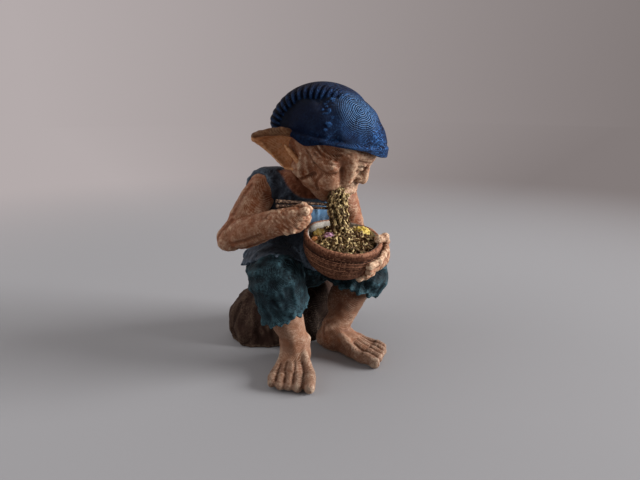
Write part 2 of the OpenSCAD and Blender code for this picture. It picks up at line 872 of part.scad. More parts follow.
// Bowl: turned, round-bottomed on a small flat, with a beaded rim, and tipped a little to the front.
bowl_round = 2.3;         // 2 would make its side a plain oval
bowl_steps = 12;
bowl_flat = 10;           // steps down the side at which the flat cuts it
bead = bowl_wall * 1.15;
function bowl_turn(v) = seat + bowl_rim + [v.x, v.y * cos(bowl_tip) - v.z * sin(bowl_tip),
    v.y * sin(bowl_tip) + v.z * cos(bowl_tip)];
function bowl_drop(k, inset) = (bowl_height - inset) * pow(sin(90 * k / bowl_steps), 2 / bowl_round);
function bowl_half(k, inset) = (bowl_width / 2 - inset) * pow(cos(90 * k / bowl_steps), 2 / bowl_round);
function bowl_side(drop) =
    bowl_width / 2 * pow(1 - pow(max(0, min(1, drop / bowl_height)), bowl_round), 1 / bowl_round);

module in_bowl() {
    translate(seat + bowl_rim) rotate([bowl_tip, 0, 0]) children();
}

module bowl_block(inset) {
    rotate_extrude($fn = 96)
        polygon([[0, 0], for (k = [0 : bowl_flat]) [bowl_half(k, inset), -bowl_drop(k, inset)],
            [0, -bowl_drop(bowl_flat, inset)]]);
}

module bowl_bead(grow) {
    rotate_extrude($fn = 96)
        translate([bowl_width / 2 - bowl_wall / 2, 0]) circle(d = bead + 2 * grow, $fn = 24);
}

module bowl() {
    color("#8a5140")
    in_bowl() {
        difference() {
            bowl_block(0);
            bowl_block(bowl_wall);
        }
        bowl_bead(0);
    }
}

// Left hand: the palm beside the bowl, four fingers round its front and the thumb over its rim.
function round_bowl(angle, drop, gap) =
    bowl_turn([cos(angle), sin(angle), 0] * (bowl_side(drop) + gap) - up * drop);

module left_hand_form() {
    palm = bowl_height * 0.5;
    pitch = finger_width * 0.92;
    limb([
        station(seat + left_wrist - left_fore, wrist_width * 0.85, wrist_width * 0.8),
        station(mix(seat + left_wrist, round_bowl(-18, palm, 3), 0.5), wrist_width, wrist_width * 1.1),
        station(round_bowl(-22, palm, 2.2), 5.6, wrist_width * 1.3),
        station(round_bowl(-40, palm, 1.2), 4, wrist_width * 1.2)],
        [0.3, -0.2, 0.9], 14);
    for (k = [0 : 3])
        digit([round_bowl(-26, 3.4 + k * pitch * 0.9, 2.4),
            for (j = [0 : 2])
                round_bowl(-44 - j * (19 - 2 * k), 3.4 + k * pitch + 0.2 * j, finger_width * 0.3)],
            finger_width * 1.05);
    digit([round_bowl(-8, palm, 2.6), round_bowl(-16, 1.5, 2.8), round_bowl(-30, -1.8, 0.6),
        round_bowl(-40, -1.8, -1.6)], finger_width * 1.1);
}

module left_hand() {
    color("#b98a68")
    difference() {
        left_hand_form();
        left_forearm_form();
        shorts_left_leg_form();
        in_bowl() bowl_block(-slip);
        in_bowl() bowl_bead(slip);
        pin_hole(left_wrist_pin);
    }
}

// Noodles: a swirled mound in the bowl, and a hank lifted out of it to the mouth.
mound_sides = 40;
mound_swirls = 7;
mound_half = bowl_width / 2 - bowl_wall - slip;
mound_swirl = 0.55;       // height of a swirl
function mound_height(share) = -mound_sink + mound_rise * (1 - share ^ 2);
function mound_point(lon, share) =
    let (r = share * mound_half * 0.99,
        swirl = mound_swirl * sin(mound_swirls * lon + 330 * share) * min(1, 3 * (1 - share)))
    [cos(lon) * r, sin(lon) * r, mound_height(share) + swirl];

module mound_form() {
    inner = bowl_wall + slip;
    loft([
        for (k = [bowl_flat - 1 : -2 : 3])
            [for (i = [0 : mound_sides - 1]) let (lon = 360 * i / mound_sides)
                [cos(lon) * bowl_half(k, inner), sin(lon) * bowl_half(k, inner), -bowl_drop(k, inner)]],
        for (share = [0.98, 0.84, 0.68, 0.52, 0.36, 0.18])
            [for (i = [0 : mound_sides - 1]) mound_point(360 * i / mound_sides, share)]]);
}

module noodle_mound() {
    color("#a9893f")
    in_bowl() mound_form();
}

// The hank: a bundle of strands that twist a little, gripped by the chopsticks half way.
hank_root = head_point([-4.6, -11.5, -6]);
hank_top = head_point([-5.6, -16.8, -10.2]);
hank_grip = seat + [1.8, -31.8, 36.3];
hank_foot = bowl_turn([0, 0.5, -2.5]);
hank_twist = 70;
hank_facets = 3;
function strand(k) = 1 + 0.13 * cos(360 * k / hank_facets);

module lifted_noodles_form() {
    path = finer([station(hank_root, hank_width * 0.9, hank_width * 0.7),
        station(hank_top, hank_width, hank_width * 0.8),
        station(hank_grip, hank_width * 0.88, hank_width * 0.8),
        station(mix(hank_grip, hank_foot, 0.55), hank_width * 0.96, hank_width * 0.9),
        station(hank_foot, hank_width * 1.15, hank_width)], 3);
    n = hank_facets * hank_noodles;
    loft([for (j = [0 : len(path) - 1])
        let (s = path[j],
            way = heading(path, j),
            across = unit(left - way * (left * way)),
            deep = cross(way, across),
            turn = hank_twist * j / len(path))
        [for (k = [0 : n - 1])
            let (a = 360 * k / n + turn)
            [s.x, s.y, s.z] + (across * s[3] * cos(a) + deep * s[4] * sin(a)) * strand(k)]]);
}

module lifted_noodles() {
    color("#b79a45")
    difference() {
        lifted_noodles_form();
        in_head() skull_form(0);
        in_bowl() mound_form();
        chopstick_holes();
    }
}

// Toppings: halved eggs and slices that lie on the noodles, each [way from the bowl's middle, share of the way
// to its wall, width, height].
toppings_list = [
    [8, 0.96, egg_width, egg_width * 0.57],
    [130, 0.86, egg_width * 0.75, egg_width * 0.43],
    [162, 0.51, egg_width * 0.7, egg_width * 0.37],
    [157, 0.87, egg_width * 0.45, egg_width * 0.33]];

module topping(angle, share, width, height) {
    out = share * (mound_half - width / 2);
    middle = [cos(angle) * out, sin(angle) * out, mound_height(out / mound_half)];
    difference() {
        loft([for (a = [-70 : 28 : 70])
            let (w = cos(a) * width)
            ring(station(middle + up * sin(a) * height / 2, w, w), up, left, 12)]);
        mound_form();
    }
}

module toppings() {
    color("#c9b13e")
    difference() {
        in_bowl()
            for (t = toppings_list)
                topping(t[0], t[1], t[2], t[3]);
        lifted_noodles_form();
    }
}

// Chopsticks: two tapered sticks through the fist, closing on the noodles.
stick_grip = fist_point(6.4, -1.8, 5);
stick_way = unit(hank_grip - stick_grip);
stick_past = hank_width * 0.3;
function chopstick_butt(k) = stick_grip - stick_way * chopstick_tail + up * k * chopstick_gap / 2;
function chopstick_end(k) = hank_grip + stick_way * stick_past + up * k * (chopstick_tip / 2 + slip * 2);

module chopstick(k, grow) {
    way = chopstick_end(k) - chopstick_butt(k);
    long = norm(way) + grow;
    along(chopstick_butt(k), way)
        cylinder(d1 = chopstick_width + 2 * grow, d2 = chopstick_tip + 2 * grow, h = long, $fn = round_fn);
}

module chopstick_holes() {
    chopstick(1, slip);
    chopstick(-1, slip);
}

module upper_chopstick() {
    color("#3b2a22") chopstick(1, 0);
}

module lower_chopstick() {
    color("#3b2a22") chopstick(-1, 0);
}

// Pins across the glue joints: each has a middle and a way.
thigh_pin_at = 7.3;
roll_pin_at = 10;
roll_pin_sink = pin_length / 2 - roll_rise / 4;
right_thigh = unit(right_knee - right_hip);
left_thigh = unit(left_knee - left_hip);
right_shin = unit(right_ankle - seat - right_knee);
left_shin = unit(left_ankle - seat - left_knee);
right_fore = unit(right_wrist - right_elbow);
left_fore = unit(left_wrist - left_elbow);

seat_pin = [seat, up];
waist_pin = [waist, up];
neck_pin = [seat + collar, unit(skull - collar)];
right_thigh_pin = [seat + right_hip + right_thigh * thigh_pin_at, right_thigh];
left_thigh_pin = [seat + left_hip + left_thigh * thigh_pin_at, left_thigh];
right_shin_pin = [seat + right_knee + right_shin * right_drop, right_shin];
left_shin_pin = [seat + left_knee + left_shin * left_drop, left_shin];
right_shoulder_pin = [seat + right_shoulder + [-1.5, 0, -1.5], unit([-2, 0, -1])];
left_shoulder_pin = [seat + left_shoulder + [1.5, 0, -1.5], unit([2, 0, -1])];
right_elbow_pin = [seat + right_elbow + right_fore * elbow_width / 2, right_fore];
left_elbow_pin = [seat + left_elbow + left_fore * elbow_width / 2, left_fore];
right_wrist_pin = [seat + right_wrist, right_fore];
left_wrist_pin = [seat + left_wrist, left_fore];
roll_pin_way = [0, cos(roll_pin_at), sin(roll_pin_at)];
roll_pin = [head_point(cap_crown(roll_pin_at) - roll_pin_way * roll_pin_sink), head_way(roll_pin_way)];
pins = [seat_pin, waist_pin, neck_pin, right_thigh_pin, left_thigh_pin, right_shin_pin, left_shin_pin,
    right_shoulder_pin, left_shoulder_pin, right_elbow_pin, left_elbow_pin, right_wrist_pin, left_wrist_pin,
    roll_pin];

module pin_hole(pin) {
    half = pin[1] * (pin_length / 2 + slip);
    rod(pin[0] - half, pin[0] + half, pin_width + 2 * slip);
}

module joint_pins() {
    color("#d8d2c4")
    for (pin = pins)
        rod(pin[0] - pin[1] * pin_length / 2, pin[0] + pin[1] * pin_length / 2, pin_width);
}

stone();
shorts_seat();
shorts_right_leg();
shorts_left_leg();
right_leg();
left_leg();
vest();
head();
right_ear();
left_ear();
cap();
cap_roll();
right_upper_arm();
right_forearm();
right_hand();
left_upper_arm();
left_forearm();
left_hand();
bowl();
noodle_mound();
lifted_noodles();
toppings();
upper_chopstick();
lower_chopstick();
joint_pins();
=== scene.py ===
from math import copysign, cos, hypot, pi, radians, sin, sqrt
import bpy
import numpy as np
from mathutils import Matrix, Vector


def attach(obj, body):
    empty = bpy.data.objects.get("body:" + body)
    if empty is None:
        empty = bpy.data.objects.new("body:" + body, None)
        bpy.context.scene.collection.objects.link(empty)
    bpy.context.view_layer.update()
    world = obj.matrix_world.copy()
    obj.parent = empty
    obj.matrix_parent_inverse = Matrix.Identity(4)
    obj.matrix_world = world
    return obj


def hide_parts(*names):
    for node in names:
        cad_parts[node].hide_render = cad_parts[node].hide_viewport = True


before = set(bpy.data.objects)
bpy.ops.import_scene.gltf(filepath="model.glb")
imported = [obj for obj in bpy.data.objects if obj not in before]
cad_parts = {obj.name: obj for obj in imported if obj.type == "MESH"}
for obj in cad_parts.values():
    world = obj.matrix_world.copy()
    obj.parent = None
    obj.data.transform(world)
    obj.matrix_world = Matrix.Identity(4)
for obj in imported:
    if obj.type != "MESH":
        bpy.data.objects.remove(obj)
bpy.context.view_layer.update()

# The place for looking at the figure: a pale tabletop that fades into a paler backdrop, a broad window on the
# right, a bright wall behind, and a camera held a hand's length away, looking a little down.
scene = bpy.context.scene
scene.view_settings.view_transform = "Standard"
view_x, view_y, view_dip = 0.53, 0.848, radians(15)


def shade(code):
    """A colour written as on a paint chart, as a shader takes it."""
    parts = [int(code[k:k + 2], 16) / 255 for k in (1, 3, 5)]
    return [c / 12.92 if c <= 0.04045 else ((c + 0.055) / 1.055) ** 2.4 for c in parts] + [1]


def put_up(thing, place, sight):
    """Puts a camera or a lamp at a place, looking along sight."""
    thing.location = place
    thing.rotation_euler = sight.to_track_quat("-Z", "Y").to_euler()
    scene.collection.objects.link(thing)


camera = bpy.data.objects.new("camera", bpy.data.cameras.new("camera"))
camera.data.lens = 27
camera.data.sensor_width = 36
camera.data.clip_start = 0.01
sight = Vector((view_x * cos(view_dip), view_y * cos(view_dip), -sin(view_dip)))
put_up(camera, (-0.0913, -0.1682, 0.0906), sight)
scene.camera = camera


def open_nodes(owner):
    """Makes the nodes of a world or a material the ones at hand."""
    global tree
    owner.use_nodes = True
    tree = owner.node_tree
    return tree.nodes


def wire(to, sockets):
    """Gives each named socket of a node a plain value or another node's output."""
    for socket, value in sockets.items():
        if isinstance(value, bpy.types.NodeSocket):
            tree.links.new(value, to.inputs[socket])
        else:
            to.inputs[socket].default_value = value


def node(kind, sockets, **settings):
    """A new node among those at hand."""
    made = tree.nodes.new("ShaderNode" + kind)
    for name, value in settings.items():
        setattr(made, name, value)
    wire(made, sockets)
    return made


def sum_of(operation, *values):
    """A maths node, with a number or an output at each place."""
    return node("Math", dict(enumerate(values)), operation=operation).outputs["Value"]


def share_of(value, low, high, **settings):
    """How far a value has come from low to high."""
    sockets = {"Value": value, "From Min": low, "From Max": high}
    return node("MapRange", sockets, **settings).outputs["Result"]


def blend_of(mask, a, b):
    """A mix of two colours by a mask."""
    return node("Mix", {"Factor": mask, "A": a, "B": b}, data_type="RGBA").outputs["Result"]


def lean_of(vector, towards):
    """How far a vector leans towards a direction."""
    return node("VectorMath", {0: vector, 1: towards}, operation="DOT_PRODUCT").outputs["Value"]


def backdrop_of(vector):
    """The backdrop's colour, in painted light and shade: paler on the left of the camera than on its right.
    """
    side = share_of(lean_of(vector, (view_y, -view_x, 0)), -0.5, 0.55)
    return blend_of(side, shade("#b4abab"), shade("#827a79"))


def seen():
    """Whether a surface is looked at, and not only lit from."""
    ray = node("LightPath", {}).outputs
    return sum_of("MAXIMUM", ray["Is Camera Ray"], ray["Is Glossy Ray"])


room = bpy.data.worlds.new("room")
nodes = open_nodes(room)
look = node("TexCoord", {}).outputs["Generated"]
level = sum_of("ADD", lean_of(look, (0.02, 0.36, 0.2)), 0.35)
glow = nodes["Background"]
wire(glow, {"Color": shade("#efeae8"), "Strength": sum_of("MAXIMUM", level, 0.1)})
wall = node("Background", {"Color": backdrop_of(look)})
either = node("MixShader", {0: seen(), 1: glow.outputs["Background"], 2: wall.outputs["Background"]})
wire(nodes["World Output"], {"Surface": either.outputs["Shader"]})
scene.world = room

for name, place, size, power in (
        ("window", (1.85, -1.25, 0.72), 1.2, 98),
        ("wall_bounce", (-0.80, 0.30, 0.45), 0.8, 2.5)):
    lamp = bpy.data.objects.new(name, bpy.data.lights.new(name, "AREA"))
    lamp.data.energy = power
    lamp.data.size = size
    put_up(lamp, place, Vector((0, -0.015, 0.05)) - Vector(place))

tabletop_mesh = bpy.data.meshes.new("tabletop")
tabletop_mesh.from_pydata([(-3, -3, 0), (3, -3, 0), (3, 3, 0), (-3, 3, 0)], [], [(0, 1, 2, 3)])
tabletop = bpy.data.objects.new("tabletop", tabletop_mesh)
scene.collection.objects.link(tabletop)
paper = bpy.data.materials.new("paper")
nodes = open_nodes(paper)
spot = node("TexCoord", {}).outputs["Object"]
away = node("VectorMath", {0: spot}, operation="LENGTH").outputs["Value"]
way = node("VectorMath", {0: spot}, operation="NORMALIZE").outputs["Vector"]
fading = sum_of("MULTIPLY", share_of(away, 0.13, 0.55, interpolation_type="SMOOTHSTEP"), seen())
wall = node("Emission", {"Color": backdrop_of(way)})
shader = nodes["Principled BSDF"]
wire(shader, {"Base Color": shade("#9b9a9d"), "Roughness": 0.9})
either = node("MixShader", {0: fading, 1: shader.outputs["BSDF"], 2: wall.outputs["Emission"]})
wire(nodes["Material Output"], {"Surface": either.outputs["Shader"]})
tabletop_mesh.materials.append(paper)


# Stone: a worn block of rock under the seat, printed in plastic, with flutes and lumps down its sides, washed
# with dark brown and brushed paler on its ridges. It is glued under the seat of the shorts.
class Clay:
    """Modelling clay on a grid, in millimetres. far is the distance of each grid point from the skin, below
    zero inside."""
    open_air, near_skin = 9, 2.5

    def __init__(self, low, high, step):
        self.step = step * 1
        self.low = np.array(low, float)
        counts = np.ceil((np.array(high, float) - self.low) / self.step).astype(int) + 1
        lines = [self.low[i] + self.step * np.arange(counts[i]) for i in range(3)]
        self.at = np.stack(np.meshgrid(*lines, indexing="ij"), -1).astype(np.float32)
        self.far = np.full(counts, self.open_air, np.float32)

    def window(self, low, high):
        """The slices of the grid that hold a box."""
        first = np.clip(np.floor((low - self.low) / self.step).astype(int), 0, self.far.shape)
        last = np.clip(np.ceil((high - self.low) / self.step).astype(int) + 1, first, self.far.shape)
        return tuple(slice(a, b) for a, b in zip(first, last))

    def press(self, form, reach):
        """The window that a form reaches, and the form's distances there."""
        low, high = np.min([f[0] for f in form], 0), np.max([f[1] for f in form], 0)
        whole = self.window(low - reach, high + reach)
        far = np.full(self.far[whole].shape, self.open_air, np.float32)
        for low, high, distance in form:
            part = self.window(low - reach, high + reach)
            here = tuple(slice(p.start - w.start, p.stop - w.start) for p, w in zip(part, whole))
            far[here] = np.minimum(far[here], distance(self.at[part]))
        return whole, far

    def add(self, form, blend=0.5, within=None):
        """Puts a form on, smoothed into the rest over blend, and only where within is below zero."""
        spot, far = self.press(form, blend + self.near_skin)
        if within is not None:
            far = np.maximum(far, within[spot])
        h = np.clip(0.5 + 0.5 * (self.far[spot] - far) / blend, 0, 1)
        self.far[spot] = self.far[spot] * (1 - h) + far * h - blend * h * (1 - h)

    def carve(self, form, blend=0.4):
        """Takes a form away."""
        spot, far = self.press(form, blend + self.near_skin)
        h = np.clip(0.5 - 0.5 * (self.far[spot] + far) / blend, 0, 1)
        self.far[spot] = self.far[spot] * (1 - h) - far * h + blend * h * (1 - h)

    def keep(self, far, blend=0.3):
        """Cuts off what lies where far is above zero."""
        h = np.clip(0.5 - 0.5 * (self.far - far) / blend, 0, 1)
        self.far = self.far * (1 - h) + far * h + blend * h * (1 - h)

    def probe(self, points):
        """The distance from the skin at any points."""
        g = np.clip((points - self.low) / self.step, 0, np.array(self.far.shape) - 1.001)
        i = g.astype(int)
        t = g - i
        return sum(np.prod(np.where(c, t, 1 - t), -1) * self.far[tuple((i + c).T)]
            for c in np.ndindex(2, 2, 2))

    def onto(self, points):
        """The points, moved to the skin."""
        points = np.array(points, float)
        for _ in range(6):
            rise = [self.probe(points + e) - self.probe(points - e) for e in np.eye(3) * 0.4]
            slope = np.stack(rise, -1) / 0.8
            points = points - (self.probe(points) / np.maximum((slope ** 2).sum(-1), 0.2))[:, None] * slope
        return points

    def crease(self, points, width, depth):
        """A groove drawn in the skin along points, or a ridge where depth is below zero."""
        line = self.onto(spline(points, 6))
        rods = [f for a, b in zip(line[:-1], line[1:]) for f in bone(a, b, 0, 0)]
        spot, far = self.press(rods, 2.6 * width)
        self.far[spot] += depth * bell(far, width)

    def crumple(self, size, height, seed, stretch=(1, 1, 1)):
        """Soft lumps of about one size all over the skin."""
        near = np.abs(self.far) < self.near_skin
        where = self.at[near] * np.array(stretch, np.float32)
        dice = np.random.default_rng(seed)
        for _ in range(9):
            way = dice.normal(size=3)
            way *= 2 * pi / size * dice.uniform(0.6, 1.5) / np.linalg.norm(way)
            self.far[near] += height / 3 * np.sin(where @ way.astype(np.float32) + dice.uniform(0, 7))

    def skin(self):
        """The clay's skin as points and four-sided faces, with how far each point is a crest or a hollow."""
        far = self.far
        for axis in range(3):
            for end in (0, -1):
                far[tuple(end if k == axis else slice(None) for k in range(3))] = self.open_air
        inside = far < 0
        cells = np.array(far.shape) - 1
        filled = sum(inside[tuple(slice(o, o + n) for o, n in zip(c, cells))].astype(np.int8)
            for c in np.ndindex(2, 2, 2))
        mixed = (filled > 0) & (filled < 8)
        number = np.full(mixed.shape, -1)
        number[mixed] = np.arange(mixed.sum())
        home = np.argwhere(mixed)
        total, hits = np.zeros(home.shape), np.zeros(len(home))
        for axis in range(3):
            for a in np.ndindex(2, 2, 2):
                if a[axis]:
                    continue
                b = tuple(1 if k == axis else a[k] for k in range(3))
                fa, fb = far[tuple((home + a).T)], far[tuple((home + b).T)]
                cut = (fa < 0) != (fb < 0)
                t = np.where(cut, fa / np.where(cut, fa - fb, 1), 0)
                total += cut[:, None] * (home + a + t[:, None] * (np.array(b) - a))
                hits += cut
        points = self.low + self.step * total / hits[:, None]
        faces = []
        for axis in range(3):
            u, v = np.eye(3, dtype=int)[(axis + 1) % 3], np.eye(3, dtype=int)[(axis + 2) % 3]
            low = tuple(slice(0, -1) if k == axis else slice(None) for k in range(3))
            high = tuple(slice(1, None) if k == axis else slice(None) for k in range(3))
            for start, flip in ((inside[low] & ~inside[high], 1), (~inside[low] & inside[high], -1)):
                corner = np.argwhere(start)
                ring = np.stack([number[tuple((corner + o).T)] for o in (-u - v, -v, 0 * u, -u)], -1)
                faces.append(ring[:, ::flip])
        faces = np.concatenate(faces)
        total, hits = np.zeros(points.shape), np.zeros(len(points))
        for k in range(4):
            np.add.at(total, faces[:, k], points[faces[:, (k + 1) % 4]] + points[faces[:, k - 1]])
            np.add.at(hits, faces[:, k], 2)
        points = points * 0.6 + 0.4 * total / hits[:, None]
        bend, wide = (sum(self.probe(points + e * s) for e in np.eye(3) * away for s in (1, -1)) / 6
            for away in (0.8, 2))
        return points, faces, {"crest": np.clip(np.maximum(bend / 0.25, wide / 0.9), 0, 1),
            "hollow": np.clip(np.maximum(-bend / 0.25, -wide / 0.9), 0, 1)}


def bell(value, width):
    """One in the middle, falling off over a width."""
    return np.exp(-(value / width) ** 2)


def ramp(value, low, high):
    """How far values have come from low to high, from nought to one."""
    return np.clip((value - low) / (high - low), 0, 1)


def spline(points, per):
    """A smooth curve through points, as a finer list."""
    p = np.array(points, float)
    p = np.concatenate([p[:1] * 2 - p[1:2], p, p[-1:] * 2 - p[-2:-1]])
    t = (np.arange(per) / per)[:, None]
    rows = [0.5 * (2 * b + (c - a) * t + (2 * a - 5 * b + 4 * c - d) * t ** 2
        + (3 * b - a - 3 * c + d) * t ** 3) for a, b, c, d in zip(p[:-3], p[1:-2], p[2:-1], p[3:])]
    return np.concatenate(rows + [p[-2:-1]])


def unit(v):
    """A direction, one long."""
    v = np.array(v, float)
    return v / np.linalg.norm(v)


def egg(centre, half, way=None):
    """An egg-shaped lump. With a way, its third half size lies along it."""
    centre, half = np.array(centre, float), np.array(half, float)
    turn, reach = np.eye(3), half
    if way is not None:
        side = unit(np.cross(way, (0.02, 0.01, 1)))
        turn, reach = np.array([side, np.cross(unit(way), side), unit(way)]), half.max()

    def distance(p):
        q = (p - centre) @ turn.T
        k = np.sqrt(((q / half) ** 2).sum(-1))
        return np.where(k < 0.1, -half.min(), k * (k - 1) / (np.sqrt(((q / half ** 2) ** 2).sum(-1)) + 1e-6))
    return [(centre - reach, centre + reach, distance)]


def bone(a, b, ra, rb):
    """A round rod between two points, with a half width at each."""
    a, b = np.array(a, float), np.array(b, float)
    run = b - a
    long = max(run @ run, 1e-9)

    def distance(p):
        t = np.clip((p - a) @ run / long, 0, 1)
        return np.sqrt(((p - a - t[..., None] * run) ** 2).sum(-1)) - (ra + (rb - ra) * t)
    return [(np.minimum(a, b) - max(ra, rb), np.maximum(a, b) + max(ra, rb), distance)]


def roll(stations, per=5):
    """A rolled sausage through stations, each a point and a half width."""
    rows = spline([np.hstack(station) for station in stations], per)
    return [f for p, q in zip(rows[:-1], rows[1:]) for f in bone(p[:3], q[:3], p[3], q[3])]


def new_group(name, inlets, outlets):
    """A node group, made the nodes at hand. Gives the group, what comes into it and its last node."""
    global tree
    tree = bpy.data.node_groups.new(name, "ShaderNodeTree")
    for socket, kind, value in inlets:
        made = tree.interface.new_socket(socket, in_out="INPUT", socket_type="NodeSocket" + kind)
        if value is not None:
            made.default_value = value
    for socket, kind in outlets:
        tree.interface.new_socket(socket, in_out="OUTPUT", socket_type="NodeSocket" + kind)
    return tree, tree.nodes.new("NodeGroupInput").outputs, tree.nodes.new("NodeGroupOutput")


def on_piece():
    """Where a point of a surface lies in the figure, in metres."""
    return node("TexCoord", {}).outputs["Object"]


# The layers of the print: fine steps across the way it was built up, a little uneven.
layer_lines, inlet, outlet = new_group("layer lines", [("Pitch", "Float", 0.22)], [("Height", "Float")])
wander = node("TexNoise", {"Vector": on_piece(), "Scale": 260, "Detail": 2}).outputs["Fac"]
uneven = sum_of("MULTIPLY_ADD", wander, 0.22, lean_of(on_piece(), (70, -830, 550)))
wire(outlet, {"Height": sum_of("PINGPONG", sum_of("DIVIDE", uneven, inlet["Pitch"]), 0.5)})

# How these pieces are painted: a base coat, a thin dark wash that stays in the hollows, and paler paint
# brushed nearly dry over the crests and along the layer lines.
paint_layers, inlet, outlet = new_group("paint layers", [("Base", "Color", None), ("Wash", "Color", None),
    ("Brush", "Color", None), ("Washing", "Float", 0.8), ("Brushing", "Float", 0.6), ("Flecks", "Float", 0.3),
    ("Lines", "Float", 0.5), ("Pitch", "Float", 0.22)], [("Color", "Color"), ("Dry", "Float")])


def dapple(size, detail, low, high):
    """A patchy mask, with patches of about size in millimetres."""
    noise = node("TexNoise", {"Vector": on_piece(), "Scale": 1000 / size, "Detail": detail})
    return share_of(noise.outputs["Fac"], low, high)


def mark_of(name):
    """A value that is kept on the points of a mesh."""
    return node("Attribute", {}, attribute_name=name).outputs["Fac"]


lines = node("Group", {"Pitch": inlet["Pitch"]}, node_tree=layer_lines).outputs["Height"]
# Painted shade: where a piece is marked as shaded, the patches and flecks of dry brush fade out.
unshaded = sum_of("SUBTRACT", 1, mark_of("painted_shade"))
patchy = sum_of("MULTIPLY", dapple(5, 3, 0.35, 0.65), unshaded)
pool = sum_of("MULTIPLY", mark_of("hollow"), inlet["Washing"])
pool = sum_of("MULTIPLY_ADD", dapple(2.4, 3, 0.42, 0.72), sum_of("MULTIPLY", inlet["Washing"], 0.2), pool)
pool.node.use_clamp = True
rub = sum_of("MULTIPLY", mark_of("crest"), dapple(0.9, 2, 0.3, 0.6))
rub = sum_of("MULTIPLY", rub, inlet["Brushing"])
specks = sum_of("MULTIPLY", dapple(0.6, 3, 0.52, 0.62), dapple(7, 2, 0.36, 0.6))
rub = sum_of("MULTIPLY_ADD", sum_of("MULTIPLY", specks, unshaded), inlet["Flecks"], rub)
edge = sum_of("MULTIPLY", sum_of("GREATER_THAN", lines, 0.34), patchy)
rub = sum_of("MULTIPLY_ADD", edge, sum_of("MULTIPLY", inlet["Lines"], 0.3), rub)
rub.node.use_clamp = True
deep = blend_of(sum_of("MULTIPLY", patchy, 0.22), inlet["Base"], inlet["Wash"])
washed = blend_of(pool, deep, inlet["Wash"])
wire(outlet, {"Color": blend_of(rub, washed, inlet["Brush"]), "Dry": rub})


def painted(name, base, wash, brush, washing=0.8, brushing=0.6, flecks=0.3, lines=0.5, sheen=0.55, bump=0.5,
        shine=0.12, pitch=0.22):
    """A coat of worn paint over the layers of the print."""
    coat = bpy.data.materials.new(name)
    shader = open_nodes(coat)["Principled BSDF"]
    layers = node("Group", {"Base": shade(base), "Wash": shade(wash), "Brush": shade(brush),
        "Washing": washing, "Brushing": brushing, "Flecks": flecks, "Lines": lines, "Pitch": pitch},
        node_tree=paint_layers).outputs
    steps = node("Group", {"Pitch": pitch}, node_tree=layer_lines).outputs["Height"]
    relief = node("Bump", {"Height": steps, "Strength": min(1, bump), "Distance": 0.00012 * max(1, bump)})
    gloss = node("MapRange", {"Value": layers["Dry"], "To Min": sheen, "To Max": min(1, sheen + 0.25)})
    wire(shader, {"Base Color": layers["Color"], "Roughness": gloss.outputs["Result"],
        "Normal": relief.outputs["Normal"], "Specular IOR Level": shine})
    return coat


def set_down(name, points, faces, marks, coat, slot, stands_for=None):
    """A mesh in millimetres as the painted piece that stands for a node, by default the one of its name."""
    mesh = bpy.data.meshes.new("painted_" + name)
    faces = faces.tolist() if isinstance(faces, np.ndarray) else faces
    mesh.from_pydata((np.asarray(points) / 1000).tolist(), [], faces)
    mesh.polygons.foreach_set("use_smooth", np.ones(len(mesh.polygons), bool))
    for mark, values in marks.items():
        mesh.attributes.new(mark, "FLOAT", "POINT").data.foreach_set("value", np.asarray(values, np.float32))
    mesh.materials.append(coat)
    piece = bpy.data.objects.new("painted_" + name, mesh)
    scene.collection.objects.link(piece)
    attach(piece, "root")
    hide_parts(stands_for or name)


def swell(p, heights, shares):
    """A value that goes smoothly through shares at heights."""
    fine = spline(np.stack([heights, shares], -1), 8)
    return np.interp(p[..., 2], fine[:, 0], fine[:, 1])


rock_x, rock_y, rock_top = -1.8, 1.5, 22
rock_wide, rock_deep, rock_square = 25, 14, 2.7
rock = Clay((-30, -18, -1), (28, 18, 24), 0.42)
p = rock.at
rise = p[..., 2] / rock_top
lean = swell(p, [0, 7.7, 12.1, 15.4, 18.5, rock_top], [0, 0, 0.2, 0.9, 2, 3.5])
x, y = p[..., 0] - rock_x - lean, p[..., 1] - rock_y
around, off = np.arctan2(y, x), np.hypot(x, y)
broad = (np.abs(x) / rock_wide) ** rock_square + (np.abs(y) / rock_deep) ** rock_square
broad = broad ** (1 / rock_square)
ridge = 0.7 * (np.sin(5 * around + 0.7) + 0.8 * np.sin(8 * around + 2.44 * rise)
    + 0.5 * np.sin(13 * around - 1.57 * rise))
girth = swell(p, [0, 2.6, 7.7, 12.1, 15.4, 18.5, rock_top], [0.97, 1, 1, 0.98, 0.92, 0.8, 0.62])
rock.far = ((off - off / np.maximum(broad, 0.01) * girth - ridge) * 0.9).astype(np.float32)
rock.add(egg((0, -10, 1.5), (9, 5.4, 7)), 3)
for k in range(13):
    a = k * 0.483 + 0.2 * sin(k * 2.1)
    turn = [a + 0.1 * j + 0.12 * sin(j + k) for j in range(5)]
    flute = [(24 * cos(t) + rock_x + 0.4 * j, 13.4 * sin(t) + rock_y, 1 + 4.3 * j)
        for j, t in enumerate(turn)]
    rock.crease(flute, 1.0 + 0.3 * sin(k * 1.7), 0.75 + 0.25 * sin(k * 3.1))
rock.crumple(6, 0.3, 3)
rock.crumple(1.8, 0.12, 4, (1, 1, 0.35))
rock.keep(p[..., 2] - rock_top, 1.2)
rock.keep(-p[..., 2], 0.2)
stone_paint = painted("stone_paint", "#3c2a24", "#110907", "#84705f", 0.9, 0.55, 0.2, 0.4, 0.7, 0.6, 0.04)
points, faces, marks = rock.skin()
# Painted shade: the front of the stone under the seat and between the legs is washed dark, with no dry brush.
shade_under_seat = bell(points[:, 0] - 3, 11) * ramp(points[:, 1], -5, -9)
marks["hollow"] = np.maximum(marks["hollow"], shade_under_seat)
marks["crest"] *= 1 - shade_under_seat
set_down("stone", points, faces, marks, stone_paint, "stone_paint")
